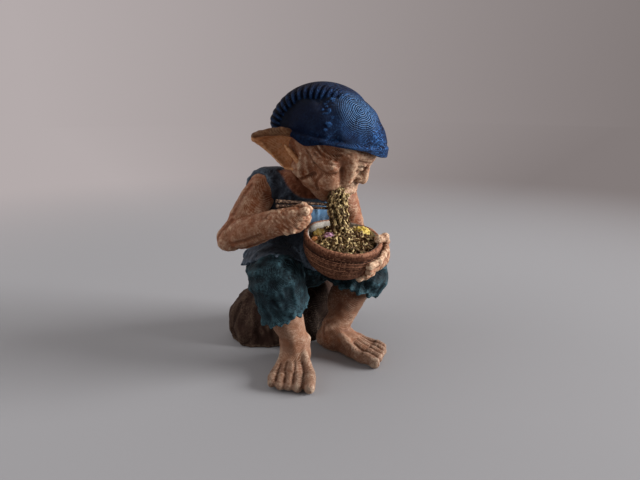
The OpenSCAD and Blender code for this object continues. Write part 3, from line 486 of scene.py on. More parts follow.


# Bare legs and feet: calf, ankle and five bony toes each, printed in one and let into the hem of the shorts.
# Tan paint, brown in the grooves and low on the feet, cream where a dry brush caught it, and painted shade
# under the hems, deepest on the left leg.
leg_paint = painted("leg_paint", "#8b5f47", "#37180b", "#e6d0b8", 0.8, 0.65, 0.15, 0.7, 0.5, 0.8, 0.1, 0.36)
right_ankle, left_ankle = (-14.3, -27.9, 9), (5.5, -24.5, 9)
foot_wide, foot_long = 15, 27


def bare_leg(name, top, ankle, turn, outer, reach, calf):
    """A lower leg. outer is the side of the small toe, reach goes from heel to ball, and calf says how far
    the muscle stands out and how deep the painted shade under the hem is."""
    top, ankle = np.array(top, float), np.array(ankle, float)
    ahead = np.array([sin(turn), -cos(turn), 0])
    out = np.array([-ahead[1], ahead[0], 0]) * outer
    up = np.array([0, 0, 1.0])
    shin = ankle - top
    heel = ankle * (1, 1, 0) - ahead * 6.5
    ball = heel + ahead * reach
    middle = heel + ahead * 13
    clay = Clay(np.minimum(middle - (17, 17, 20), top - 8) * (1, 1, 0) - (0, 0, 0.9),
        np.maximum(middle + 17, top + 8) * (1, 1, 0) + (0, 0, top[2] + 5), 0.32)
    clay.add(roll([(top - unit(shin) * 3, 5.1), (top, 5.4), (top + shin * 0.35, 5.4), (top + shin * 0.75, 5),
        (ankle, 5.2), (ankle - up * 4, 5.4)]))
    clay.add(egg(top + shin * 0.22 + np.array((-view_y, view_x, 0)) * calf, (5.4, 5.4, 8.6), unit(shin)), 2)
    clay.add(egg(heel + ahead * 3.8 + up * 3.9, (5.2, 5.2, 4.1)), 2)
    clay.add(roll([(top + ahead * 3.4, 1.5), (top + shin * 0.5 + ahead * 3.3, 1.5),
        (ankle + ahead * 3.1, 1.3)]), 2)
    for s in (-1, 1):
        clay.add(egg(ankle + out * s * 4 + up * (0.6 - 0.5 * s), (1.5, 1.5, 1.8)), 1.6)
        clay.crease([ankle + out * s * 4.6 - ahead * 2 + up * 4, ankle + out * s * 4.8 - ahead * 2.6,
            ankle + out * s * 4.6 - ahead * 1 - up * 3.6], 0.7, 0.45)
    clay.add(bone(heel + ahead * 2 + up * 6, top + shin * 0.6 - ahead * 3, 1.6, 1.5), 1.4)
    clay.add(bone(heel + ahead * 8 + up * 5, ball + up * 2.4, 5, 3), 2)
    clay.add(egg(ball - ahead * 3 + up * 2.2, (6.4, 6.4, 2.6)), 2.4)
    toes = []
    for k in range(5):
        aside = foot_wide * (-0.36 if k == 0 else -0.30 + 0.183 * k)
        wide = 2.1 if k == 0 else 1.9 - 0.06 * k
        long = foot_long * (0.32 - 0.022 * k - (0.03 if k == 4 else 0))
        root = ball + out * aside + up * 2.7
        toe = [ankle * (1, 1, 0) + ahead * 6.5 + out * aside * 0.7 + up * (6.7 - 0.4 * k), root,
            root + ahead * long * 0.45 + out * aside * 0.05 + up * 0.1,
            root + ahead * long * 0.84 + out * aside * 0.08 - up * 0.7]
        clay.add(roll([(ankle + ahead * 3 + out * aside * 0.5 - up * 1.2, 1.5), (toe[0], 1.6), (toe[1], wide),
            (toe[2], wide * 1.04), (toe[3], wide * 0.94)]), 1)
        for f in (-0.2, 0.15):
            knuckle = toe[2] + ahead * long * f
            clay.crease([knuckle + out * wide * 0.7 + up * 0.6, knuckle + up * wide,
                knuckle - out * wide * 0.7 + up * 0.6], 0.3, 0.2)
        toes.append(toe)
    clay.add(egg(toes[0][3] + ahead * 0.7 + up * 1.2, (1.2, 1.2, 0.8), up), 0.2)
    for a, b in zip(toes[:-1], toes[1:]):
        groove = [(p + q) / 2 + up * 1.6 for p, q in zip(a, b)]
        clay.crease([groove[0] * 0.45 + groove[1] * 0.55] + groove[1:], 0.36, 0.75)
    clay.crumple(4, 0.1, 5 + outer)
    clay.crumple(1.1, 0.03, 8 + outer)
    clay.keep(-clay.at[..., 2], 0.2)
    points, faces, marks = clay.skin()
    # Painted shade under the hem of the shorts, set by calf, and darker paint low on the feet.
    hem_shade_and_dark_feet = ramp(points[:, 2], 11, 18) * min(1, calf / 5) + 0.5 * ramp(points[:, 2], 7, 4)
    marks["hollow"] = np.maximum(marks["hollow"], hem_shade_and_dark_feet)
    marks["crest"] *= 1 - hem_shade_and_dark_feet
    set_down(name, points, faces, marks, leg_paint, "skin_paint")


bare_leg("right_leg", (-18.28, -27.25, 23.87), right_ankle, radians(-33), -1, 17.8, 0.6)
bare_leg("left_leg", (15.96, -24.5, 24.29), left_ankle, radians(26), 1, 19.4, 3.6)


# Shorts: coarse dark teal cloth in a seat and two short legs, all printed solid, with hollow hems that hang
# in tatters round the bare legs. Pale blue-green is brushed over the folds and frayed edges.
shorts_paint = painted("shorts_paint", "#0a151c", "#04070b", "#587f8b", 0.7, 0.5, 0.15, 0.6, 0.6, 0.9, 0.1,
    0.32)
right_hip, right_knee = (-10, -6, 31), (-21, -26.8, 34)
left_hip, left_knee = (10, -6, 30), (18.5, -24.5, 28)


def shorts_leg(name, hip, knee, ankle, drop, tatter, low, seed):
    """A leg that ends a drop below the knee. tatter is how far its hem frays, low where it hangs lowest."""
    hip, knee, ankle = (np.array(v, float) for v in (hip, knee, ankle))
    way, thigh = unit(ankle - knee), unit(knee - hip)
    end = knee + way * drop
    joints = np.array([hip, knee, end])
    clay = Clay(joints.min(0) - (12.5, 12.5, 9), joints.max(0) + (12.5, 12.5, 13), 0.4)
    clay.add(roll([(hip - thigh * 2, 9.8), (hip + (knee - hip) * 0.5, 10.1), (knee, 9.2)]))
    clay.add(roll([(knee, 9.2), (knee + way * drop * 0.45, 9.2), (end, 8.9), (end + way * 7, 9.9)]), 1.5)
    clay.add(egg(knee + thigh * 1.6 - way * 1.4, (7.6, 7.6, 7.6)), 2)
    side = unit(np.cross(way, (0, 1, 0)))
    front = np.cross(side, way)
    off = clay.at - end.astype(np.float32)
    down = off @ way
    turn = np.arctan2(off @ front, off @ side)
    pleats = 0.38 * np.sin(9 * turn + seed + 0.1 * down) + 0.2 * np.sin(17 * turn + 2 * seed - 0.25 * down)
    clay.far += ramp(down, -9, 0) * pleats
    dice = np.random.default_rng(seed)
    for _ in range(16):
        a = dice.uniform(0, 2 * pi)
        lean = dice.uniform(-0.5, 0.5)
        start = dice.uniform(-13, -4)
        turns = [a + lean * k * 0.3 for k in range(3)]
        path = [knee + way * (drop + start + 3.4 * k) + 9.3 * (side * cos(t) + front * sin(t))
            for k, t in enumerate(turns)]
        clay.crease(path, dice.uniform(0.5, 0.9), dice.uniform(0.4, 0.8))
    for k in range(5):
        base = hip + (knee - hip) * (0.25 + 0.17 * k)
        clay.crease([base + side * 9 * cos(b) - way * 9 * sin(b) + thigh * (1.5 * sin(3 * b + k))
            for b in np.linspace(0.2 + 0.3 * k, 1.7 + 0.3 * k, 4)], 0.9, 0.55)
    clay.crumple(6, 0.34, seed + 10)
    clay.crumple(1.5, 0.05, seed + 11, (1, 1, 0.4))
    clay.carve(roll([(end - way * 1.5, 6.6), (end + way * 2, 7.1), (end + way * 9, 7.9)]), 0.8)
    teeth = sum(long * np.sin(count * turn + lag * seed)
        for long, count, lag in ((0.5, 9, 1), (0.35, 14, 2.2), (0.3, 23, 3)))
    hem = tatter * (0.9 + 0.5 * teeth) + low[0] * (np.cos(turn) - 0.3) + low[1] * np.sin(turn)
    clay.keep(down - hem, 0.25)
    clay.keep(0.5 - clay.at[..., 2], 0.2)
    points, faces, marks = clay.skin()
    # Painted shade: the tops of the legs, under the vest's skirt, are washed dark.
    marks["hollow"] = np.maximum(marks["hollow"], 0.8 * ramp(points[:, 2], 33, 39))
    set_down(name, points, faces, marks, shorts_paint, "shorts_paint")


shorts_leg("shorts_right_leg", right_hip, right_knee, right_ankle, 10.5, 1.9, (-1.1, 0.4), 1)
shorts_leg("shorts_left_leg", left_hip, left_knee, left_ankle, 3.6, 2.3, (-2.2, 0), 2)


def trunk(clay, rows):
    """Fills clay with level ovals, each given by its height, its middle and its half sizes."""
    rows = np.array(rows, float)
    cx, cy, a, b = (swell(clay.at, rows[:, 0], rows[:, k]) for k in (1, 2, 3, 4))
    u, v = (clay.at[..., 0] - cx), (clay.at[..., 1] - cy)
    k = np.sqrt((u / a) ** 2 + (v / b) ** 2)
    far = k * (k - 1) / (np.sqrt((u / a ** 2) ** 2 + (v / b ** 2) ** 2) + 1e-3)
    clay.far = np.where(k < 0.2, -6, far).astype(np.float32)
    return np.arctan2(v / b, u / a)


seat = Clay((-22.5, -20, 20.5), (22.5, 17, 38.5), 0.45)
turn = trunk(seat, [(21, 0, 0, 15.4, 11.6), (22, 0, 0, 16.4, 12.4), (27, 0, -1, 19.6, 14.8),
    (32, 0, -2.1, 19.7, 14.8), (36.5, 0, -3, 18.6, 13.8), (38, 0, -3.2, 18.4, 13.6)])
z = seat.at[..., 2]
seat.far += 0.3 * np.sin(13 * turn + 0.4 * z) + 0.2 * np.sin(22 * turn - 0.5 * z)
seat.crumple(6, 0.4, 21)
seat.crumple(2.4, 0.18, 22)
seat.keep(np.maximum(z - 36.6, 21.7 - z), 0.8)
set_down("shorts_seat", *seat.skin(), shorts_paint, "shorts_paint")


# Vest: a sleeveless slate-blue vest over the hunched trunk, printed in one with it, with a lip round the
# collar, folds down the back and a frayed skirt that laps over the shorts. Paler blue on the chest and
# the front of the skirt is painted highlight.
vest_paint = painted("vest_paint", "#2b2f39", "#0f1116", "#8397aa", 0.5, 0.4, 0.1, 0.6, 0.55, 0.7, 0.1, 0.32)
right_shoulder, right_elbow = (-16, -9.5, 63.5), (-31, -12.5, 47.5)
left_shoulder, left_elbow = (16, -9.5, 62.5), (20.5, -17, 42)
vest_top, neck_x, neck_wide, neck_deep = 71, 1, 13.5, 11.2
vest = Clay((-34, -38, 28), (31, 17, 74), 0.42)
turn = trunk(vest, [(29, 0, -2.8, 22.6, 16.9), (33.5, 0, -3, 21.7, 16.2), (41.7, 0.2, -4.75, 18.4, 13.9),
    (49, 0.4, -6.4, 18.2, 13.5), (57, 0.5, -8, 18.4, 13.4), (64, 1, -11.5, 17.4, 11),
    (68.9, 1.35, -13.95, 13, 8.6), (71, 1.5, -15, 10, 8), (74, 1.7, -16.5, 9, 7.5)])
p = vest.at
for k in range(7):
    a = radians(28 + 124 * (k + 0.2 * sin(radians(k * 95))) / 6)
    x, y = 22 * cos(a), -3 + 16.5 * sin(a)
    vest.add(roll([(x, y, 32, 1.5), (x, y, 33.5, 1.5), (0.2 + 18.5 * cos(a), -4.75 + 14 * sin(a), 41.7, 0.9),
        (0.5 + 18.5 * cos(a), -8 + 13.5 * sin(a), 57, 0.2)]), 1.2)
vest.far += ramp(p[..., 2], 48, 34) * 0.22 * np.sin(17 * turn + 1 - 0.2 * p[..., 2])
for s, shoulder, elbow in ((-1, right_shoulder, right_elbow), (1, left_shoulder, left_elbow)):
    shoulder, elbow = np.array(shoulder), np.array(elbow)
    way = unit(elbow - shoulder)
    edge = s * p[..., 0] - 0.4 * (p[..., 1] + 10) - 18.9
    vest.add(roll([(shoulder - way * 3.5 - (s * 2, 0, 0), 5.6), (shoulder - way, 6.7),
        (shoulder + (elbow - shoulder) * 0.35, 6.7)]), 1.2, np.maximum(edge, 60 - p[..., 2]))
    centre, way = np.array((s * 17.6, -9.6, 61.6)), unit((s * 0.68, -0.12, -0.5))
    e1 = unit(np.cross(way, (0, 1, 0)))
    e2 = np.cross(way, e1)
    for a in (0.3, 1.1, 1.9, 2.6):
        start = centre + 8 * (e1 * cos(a) + e2 * sin(a))
        vest.crease([start, start + (-s * 2.6, 1.0, -4.5), start + (-s * 4.2, 1.6, -11)], 0.9, 0.5)
for hip, knee, long in ((right_hip, right_knee, 27.4), (left_hip, left_knee, 20)):
    hip, knee = np.array(hip, float), np.array(knee, float)
    way = unit(knee - hip)
    side = unit(np.cross(way, (0, 0, 1)))
    off = p - hip.astype(np.float32)
    along, aside, above = off @ way, off @ side, off @ np.cross(side, way)
    ragged = 0.7 * np.sin(1.1 * aside + 2) + 0.5 * np.sin(2.3 * aside + 0.4 * above)
    vest.add(roll([(hip, 10.4), (hip + (knee - hip) * 0.5, 10.7), (knee, 9.9), (knee + way * 2.4, 9.2)]), 1.4,
        np.maximum(along - long - ragged, 2.2 + 0.2 * along + 0.4 * ragged - above))
vest.crumple(8, 0.3, 31)
vest.crumple(2.6, 0.16, 32)
vest.keep(p[..., 2] - vest_top, 0.6)
vest.add(roll([(1.5 + 9.6 * cos(t), -15 + 7.6 * sin(t), 70.6 - 1.2 * sin(t), 0.8)
    for t in np.linspace(0, 2 * pi, 29)], 2), 0.6)
fray = 1.3 * np.sin(10 * turn + 1) + 0.8 * np.sin(17 * turn + 2) + 0.5 * np.sin(29 * turn)
vest.keep(32.8 + fray - p[..., 2], 0.25)
vest.crease([(neck_x + neck_wide * copysign(abs(sin(t)) ** 0.67, t), -22,
    vest_top - neck_deep * cos(t) ** 0.67) for t in np.linspace(-1.3, 1.3, 17)], 0.7, -0.6)
points, faces, marks = vest.skin()
x, y, z = points.T
opening = 1 - ((np.abs(x - neck_x) / neck_wide) ** 3 + (np.abs(z - vest_top) / neck_deep) ** 3) ** (1 / 3)
marks["bare"] = ramp(opening, 0, 0.05) * (y < -13)
# Painted highlight: paler blue on the chest, and dry brush over the front of the skirt.
marks["chest"] = 0.8 * bell(x - 1, 7) * bell(z - 56, 4.5) * (y < -13)
marks["crest"] = np.maximum(marks["crest"], 0.6 * ramp(z, 47, 41) * (y < -10))


def second_coat(coat, mark, base, wash, brush):
    """Another paint on a coat, over the part of a mesh that has a mark."""
    shader = open_nodes(coat)["Principled BSDF"]
    layers = node("Group", {"Base": shade(base), "Wash": shade(wash), "Brush": shade(brush)},
        node_tree=paint_layers)
    first = shader.inputs["Base Color"].links[0].from_socket
    wire(shader, {"Base Color": blend_of(mark_of(mark), first, layers.outputs["Color"])})


# The paler blue of the painted highlight on the chest.
second_coat(vest_paint, "chest", "#608bb2", "#34536f", "#a9c9e0")
second_coat(vest_paint, "bare", "#7a4630", "#30140b", "#b98a6c")
set_down("vest", points, faces, marks, vest_paint, "vest_paint")


# Head: a turned and bowed skull with a heavy brow, squinting eyes, a small round nose, full cheeks and lips
# pushed out round the noodles, printed in one with the neck. Tan paint, dark in the creases, with a
# painted highlight over the front of the face.
skin_paint = painted("skin_paint", "#874d30", "#37180b", "#f1d4b4", 0.8, 0.75, 0.12, 0.7, 0.5, 0.8, 0.1, 0.36)
skull = np.array((2.4, -21.6, 80.8))
turned, bowed = radians(33), radians(30)
head_turn = np.array([[cos(turned), -sin(turned), 0], [sin(turned), cos(turned), 0], [0, 0, 1]]) @ np.array(
    [[1, 0, 0], [0, cos(bowed), -sin(bowed)], [0, sin(bowed), cos(bowed)]])


def in_head(points):
    """Points given in the head's own frame, where they lie in the figure."""
    return skull + np.asarray(points, float) @ head_turn.T


face = Clay((-17.5, -26, -25), (17.5, 19, 18), 0.3)
face.add(egg((0, 0, 0), (14.4, 17.3, 15.8)))
neck = (np.array([(1.5, -12.2, 64.5), (1.8, -16, 71), (2.2, -19, 77)]) - skull) @ head_turn
face.add(roll([(neck[0], 6.6), (neck[1], 7), (neck[2], 7)]), 2.5)
face.add(egg((0, -11, -8), (9.5, 6.2, 8)), 3)
face.add(egg((0, -14, -9.2), (6.2, 4.8, 5)), 2)
face.add(egg((0, -11.4, -15), (4.8, 3.8, 3.6)), 2)
for s in (-1, 1):
    face.add(egg((s * 11.6, -8.4, -3), (2.7, 4.6, 2.7)), 2.4)
    face.add(egg((s * 8.6, -10.4, -8.4), (3.8, 4, 3.8)), 2.4)
    face.add(bone((s * 10.8, -0.5, -9.8), (s * 5.5, -10.5, -14), 3.2, 3.4), 2)
    face.add(roll([(s * 9.6, -12.4, 3.6, 1.6), (s * 7, -14.8, 0.6, 1.5), (s * 5.6, -15.4, -3, 1.5),
        (s * 4.4, -15.4, -6, 1.5)]), 2.6)
    face.add(roll([(s * 8, -14, 4.2, 1.3), (s * 4.4, -16.3, 3.8, 1.6), (s * 1.2, -17, 3.2, 1.7)]), 2)
    face.carve(egg((s * 3.4, -19, 0.6), (2.5, 2.4, 1.5)), 0.8)
    face.add(egg((s * 3.3, -15.4, 0.5), (2, 1.9, 1.8)), 0.2)
    face.add(roll([(s * 1.4, -17.4, 0.5, 0.45), (s * 3.3, -17.9, 1.4, 0.65),
        (s * 5.6, -16.2, 0.5, 0.5)]), 0.4)
    face.add(roll([(s * 1.4, -17.4, 0.2, 0.45), (s * 3.3, -17.6, -0.6, 0.7),
        (s * 5.6, -16.2, 0.1, 0.5)]), 0.5)
face.add(egg((0, -15.4, 4.4), (5.4, 3.2, 3.4)), 2)
face.add(roll([(0, -17, 3, 1.5), (0, -18.2, -0.4, 1.35), (0, -18.8, -3, 1.7)]), 1.2)
face.add(egg((0, -19, -3.9), (2.1, 2, 2)), 0.8)
for s in (-1, 1):
    face.add(egg((s * 1.9, -18, -4.3), (1.3, 1.5, 1.3)), 0.5)
    face.carve(egg((s * 1.1, -19.2, -5.8), (0.6, 0.7, 0.6)), 0.3)
face.carve(egg((-5, -17.8, -11.2), (3.2, 3.4, 1.6)), 0.6)
face.add(roll([(-8.6, -14.8, -11.2, 0.7), (-5.4, -17.4, -9.4, 1.1), (-1.2, -18.4, -9, 1.2),
    (3, -17.4, -9.8, 1), (5.4, -15.6, -11, 0.6)]), 0.6)
face.add(roll([(-8.4, -14.6, -11.8, 0.7), (-5, -16.6, -13, 1.2), (-1, -17.2, -13, 1.4),
    (3, -16.4, -12.4, 1.1), (5.4, -15.4, -11.4, 0.6)]), 0.6)
for s in (-1, 1):
    for line, width, depth in (
            (((14.3, -1.2, -2.4), (14, -3.8, -4), (13.4, -6.2, -6.4)), 0.4, 0.4),
            (((13.4, -8.6, -2.6), (12.6, -11, -2.2), (11.2, -13, -1.4)), 0.4, 0.4),
            (((13.2, -9.6, 3.2), (12, -12.4, 3.6), (10.2, -14.4, 3.4)), 0.4, 0.4),
            (((14.4, -2.6, 0.6), (14.1, -6, -0.6), (13.5, -8.7, -0.4), (12.5, -11.6, 0.4)), 0.45, 0.6),
            (((14.3, -3.2, 2.2), (13.9, -6.6, 1), (13.2, -9.4, 1.1), (12.2, -12, 1.8)), 0.4, 0.5),
            (((14.2, -4, -1.8), (13.8, -7, -2.2), (13.2, -9.4, -1.8)), 0.4, 0.35),
            (((13.8, -5.2, -5.4), (12.8, -9.2, -5.8), (11, -12.4, -4.6)), 0.6, 0.7),
            (((9.4, -14.2, -2.6), (8.4, -14.8, -5), (7.4, -14.8, -7.4)), 1, 0.7),
            (((12.4, -9.2, -7.2), (11.8, -8.4, -10.4), (9.6, -9.6, -13)), 0.6, 0.45),
            (((12.6, -6.6, -8.6), (12.4, -4.6, -11), (11, -2.6, -13)), 0.7, 0.6),
            (((13.6, -1.6, -5), (13, -4, -8.6), (11, -6.6, -12)), 0.9, -0.3),
            (((13.9, 0.4, -4.6), (13.3, -0.6, -8.2), (11.6, -2.4, -11.6)), 0.9, -0.28),
            (((2.6, -18.4, -4), (4, -17.4, -6.6), (6.2, -15.6, -9.6)), 0.5, 0.6),
            (((1.6, -17.6, -1.4), (3.6, -17.4, -2), (5.6, -16, -1.6)), 0.4, 0.4),
            (((1, -18.4, 2.6), (3.4, -17.9, 2.5), (6, -16.2, 2.4)), 0.4, 0.45),
            (((1.4, -18, 5.2), (4.4, -17.2, 5.6), (8, -14.8, 5.4)), 0.45, 0.35)):
        face.crease([(s * x, y, z) for x, y, z in line], width * 0.85, depth * 1.5)
face.crease([(-0.7, -19, 2.6), (-0.6, -18.8, 4.6), (-1.2, -18, 6.4)], 0.4, 0.35)
face.crease([(0.9, -19, 2.4), (1, -18.8, 4.4), (0.7, -18, 6.4)], 0.4, 0.3)
face.crumple(3.8, 0.1, 41)
face.crumple(1.2, 0.03, 42)
points, faces, marks = face.skin()
x, y, z = points.T
for s in (-1, 1):
    slit = np.hypot((x - s * 3) / 2.7, (z - 0.4) / 0.75) < 1
    marks["hollow"] = np.where(slit & (y < -14), 1, marks["hollow"])
# Painted highlight: the front of the face, where the light falls, is dry-brushed paler.
front = ramp(y, -12.5, -16.5) * (1 - marks["hollow"])
marks["crest"] = np.maximum(marks["crest"], 0.6 * front)
set_down("head", in_head(points), faces, marks, skin_paint, "skin_paint")


# Ears: two long leaves swept back from the skull, printed apart and pushed into slots in the head. Each has
# a deep hollow and a thick rolled rim. Their paler, warmer paint is a painted glow of light through them,
# and the dark brown along the upper edge is painted shadow of the cap.
# Paler and warmer than the face's paint: a painted glow, as of light shining through the ears.
ear_glow_paint = painted("ear_glow_paint", "#b9764a", "#3a1a0c", "#edc093", 0.85, 0.5, 0.12, 0.7, 0.5, 0.7, 0.1, 0.6)
ear_long = 17.3


def ear(name, s):
    """An ear on the side s, a curled leaf that lies along far and stands tall."""
    root, far = np.array((s * 12.0, 1.5, -4)), unit((s * 0.42, 0.88, -0.25))
    tall = unit(np.array((0, 0, 1)) - far * far[2])
    out = np.cross(far, tall)
    out = out * np.sign(out[0] * s)
    ends = np.array([root - far * 3, root + far * 19])
    clay = Clay(ends.min(0) - (4, 4, 8), ends.max(0) + (4, 4, 8), 0.25)
    off = clay.at - root.astype(np.float32)
    u, v, w = off @ far, off @ tall, off @ out
    high = np.interp(u, [-2, 1, 4, 7, 10, 13, 15, 16.6, ear_long],
        [5.4, 6.6, 6.9, 6, 4.6, 3.2, 2.3, 1.6, 0.9])
    lift = np.interp(u, [0, 4, 7, 10, 13, ear_long], [-1.2, -0.8, -0.1, 0.5, 0.7, 0.5])
    thick = np.minimum(np.interp(u, [0, 12, ear_long], [1.5, 1.3, 0.9]), high)
    curl = 0.9 * np.sin(u / ear_long * pi) - 0.03 * (v - lift) ** 2
    clay.far = np.hypot(np.maximum(np.abs(v - lift) - (high - thick), 0), w + curl) - thick
    clay.far = clay.far.astype(np.float32)
    clay.keep(np.maximum(u - ear_long, -2 - u), 0.4)
    aside = np.maximum(np.abs(v - lift + 0.5) - np.maximum(high - 3, 0), 0)
    hollow = np.hypot(aside * 1.3, (w + curl - 1.5) * 0.9)
    clay.keep(np.interp(u, [0, 2, 6, 11, 14, 15.5], [0.2, 1.7, 2, 1.5, 0.7, -0.6]) - hollow, 0.4)

    def on_ear(along, above, aside):
        return root + far * along + tall * above + out * aside
    clay.add(roll([(on_ear(1.5, 4.6, 0.9), 1.1), (on_ear(7, 5, 1.1), 1.4), (on_ear(12, 3.4, 0.7), 1.3),
        (on_ear(16, 1.3, 0), 1)]), 0.5)
    clay.add(roll([(on_ear(0.5, -3.6, 1.4), 1), (on_ear(3, -1.6, 1), 0.9),
        (on_ear(5.5, 0.4, 0.4), 0.5)]), 0.8)
    clay.crumple(2.4, 0.1, 51)
    points, faces, marks = clay.skin()
    off = points - root
    # Painted shadow of the cap along the upper edge, and a thinner wash in the hollow for the painted glow.
    rim = np.interp(off @ far, [1, 7, 13, 16], [3.2, 3.4, 1.6, 0.2])
    cap_shadow = ramp(off @ tall - rim, 0, 0.7)
    marks["hollow"] = np.maximum(marks["hollow"] * 0.4, cap_shadow)
    marks["crest"] *= 1 - 0.8 * cap_shadow
    set_down(name, in_head(points), faces, marks, ear_glow_paint, "skin_paint")


ear("right_ear", -1)
ear("left_ear", 1)


# Cap: a soft dark blue dome glued over the skull, with a thin hem, a drooping peak and a knobbly seam.
# Slightly glossy paint with pale specks, painted shade over most of the dome, painted shadow beside the roll
# and painted highlight in pale rings on the front right, where the steps of the print catch the light.
cap_paint = painted("cap_paint", "#071131", "#03050f", "#4f8bd8", 0.9, 0.6, 0.5, 1.3, 0.5, 3, 0.08)
cap_half = (16.9, 19.9, 18.4)
roll_start, roll_sweep, roll_wide, roll_thick = -20, 148, 30, 15
# Painted highlight: pale glints on the print's rings at the front right, with the base darkened near them.
shader = open_nodes(cap_paint)["Principled BSDF"]
swirl = node("VectorMath", {0: on_piece(), 1: in_head((-6.4, -8.4, 16.6)) / 1000}, operation="DISTANCE")
off = sum_of("MULTIPLY_ADD", dapple(4, 2, 0, 1), 0.0006, swirl.outputs["Value"])
ring = sum_of("PINGPONG", sum_of("DIVIDE", off, 0.00064), 0.5)
near = share_of(off, 0.0095, 0.0045)
pale = sum_of("MULTIPLY", sum_of("MULTIPLY", sum_of("GREATER_THAN", ring, 0.3), near), 0.45)
first = shader.inputs["Base Color"].links[0].from_socket
dark = blend_of(sum_of("MULTIPLY", near, 0.7), first, shade("#050c22"))
wire(shader, {"Base Color": blend_of(pale, dark, shade("#7db2f0"))})
relief = shader.inputs["Normal"].links[0].from_node
wire(relief, {"Height": sum_of("MULTIPLY_ADD", ring, near, relief.inputs["Height"].links[0].from_socket)})


def angle_from(ways, middle):
    """The angle between ways and a middle one, in degrees."""
    return np.degrees(np.arccos(np.clip(ways @ unit(middle), -1, 1)))


dome = Clay((-19, -27, -8), (19, 22, 21), 0.36)
away = np.sqrt((dome.at ** 2).sum(-1)) + 1e-3
way = dome.at / away[..., None]
dome.far = away - 1 / np.sqrt(((way / np.array(cap_half, np.float32)) ** 2).sum(-1))
for middle, spread, height in (
        ((0, -0.94, 0.36), 17, 1.5), ((0, -0.96, 0.27), 9, 1.3), ((0, -0.78, 0.63), 34, 1.9),
        ((-6.7, -7.7, 15.6), 13, 0.5), ((-11, -3.6, 13.4), 12, 0.9), ((6.7, -7.7, 15.6), 13, 0.5),
        ((11, -3.6, 13.4), 12, 0.9)):
    dome.far -= height * bell(angle_from(way, middle), spread)
dome.far = dome.far.astype(np.float32)
brim_dip = radians(18.5)
slope = (dome.at - np.array((0, 0, 0.8))) @ np.array((0, -sin(brim_dip), -cos(brim_dip)))
lower = 1.8 * bell(dome.at[..., 1] + 0.5, 3.8) + 1.6 * bell(dome.at[..., 1] + 22, 3.6)
hem = [(16.6 * sin(t), -19.4 * cos(t), 1.5 + 19.4 * cos(t) * 0.3346) for t in np.linspace(0, 2 * pi, 41)]
dome.crease(hem, 0.6, -0.35)
dome.crease([(x, y, z + 1.5) for x, y, z in hem], 0.5, 0.4)
for s in (-1, 1):
    dome.crease([(s * 14.2 * sin(t), 17 * cos(t) - 3, 17.6 * sin(t + 0.2) - 2)
        for t in (0.35, 0.6, 0.85, 1.1)], 1.6, 0.7)
    dome.crease([(s * 4, -20.4, 8.6), (s * 8, -17.6, 9.4), (s * 11.4, -14.2, 9)], 1.2, 0.15)
    dome.crease([(s * 2, -22, 6.8), (s * 6, -19.4, 6.6), (s * 10, -16, 6)], 0.8, 0.2)
dome.crumple(7, 0.16, 61)
dice = np.random.default_rng(62)
seam = spline([(-6.8, 2.4, 16.7), (-12, 0.7, 12.8), (-13.6, -3.1, 10.4), (-15.3, -4.8, 6.4)], 7)
seam = dome.onto(seam + dice.normal(0, 0.9, seam.shape))
for q in seam:
    dome.add(egg(q, np.ones(3) * dice.uniform(0.24, 0.42)), 0.3)
dome.carve(egg((0, 0, 0), (14.9, 17.8, 16.3)), 0.3)
dome.keep(slope - lower, 0.4)
points, faces, marks = dome.skin()
x, y, z = points.T
# Painted shadow of the roll on the dome beside it, and painted shade over all but the front right of the
# dome.
along = (np.degrees(np.arctan2(z, y)) - roll_start) / roll_sweep
beside = np.abs(x) - roll_wide / 2 * (1 - 0.5 * along)
roll_shadow = bell(np.maximum(beside, 0), 3) * np.clip(6 * (0.86 - along), 0, 1) * (z > 0)
knobs = np.min([np.linalg.norm(points - q, axis=1) for q in seam], 0) < 0.5
painted_shade = 1 - bell(angle_from(points / np.linalg.norm(points, axis=1)[:, None], (-0.35, -0.8, 0.55)), 42)
crest = np.maximum(marks["crest"] * 0.4, 0.7 * knobs)
marks["crest"] = np.where(crest < 0.69, crest * (1 - 0.8 * painted_shade), crest)
marks["hollow"] = np.maximum(np.maximum(marks["hollow"] * 0.7, roll_shadow), 0.55 * painted_shade)
marks["painted_shade"] = painted_shade
set_down("cap", in_head(points), faces, marks, cap_paint, "cap_paint")


# Cap's roll: the long tail of the cap, gathered into a fat pleated roll from the nape over the crown, printed
# apart and pinned to the dome. Each pleat is deep beside the dome and runs out on the crest.
def tube(rings, sides, first=0):
    """The four-sided faces of a tube whose points are numbered ring by ring."""
    return [tuple(first + (j + up) * sides + (i + on) % sides for up, on in ((0, 0), (0, 1), (1, 1), (1, 0)))
        for j in range(rings - 1) for i in range(sides)]


def turns(count):
    """Angles spread evenly round a circle."""
    return np.linspace(0, 2 * pi, count, endpoint=False)


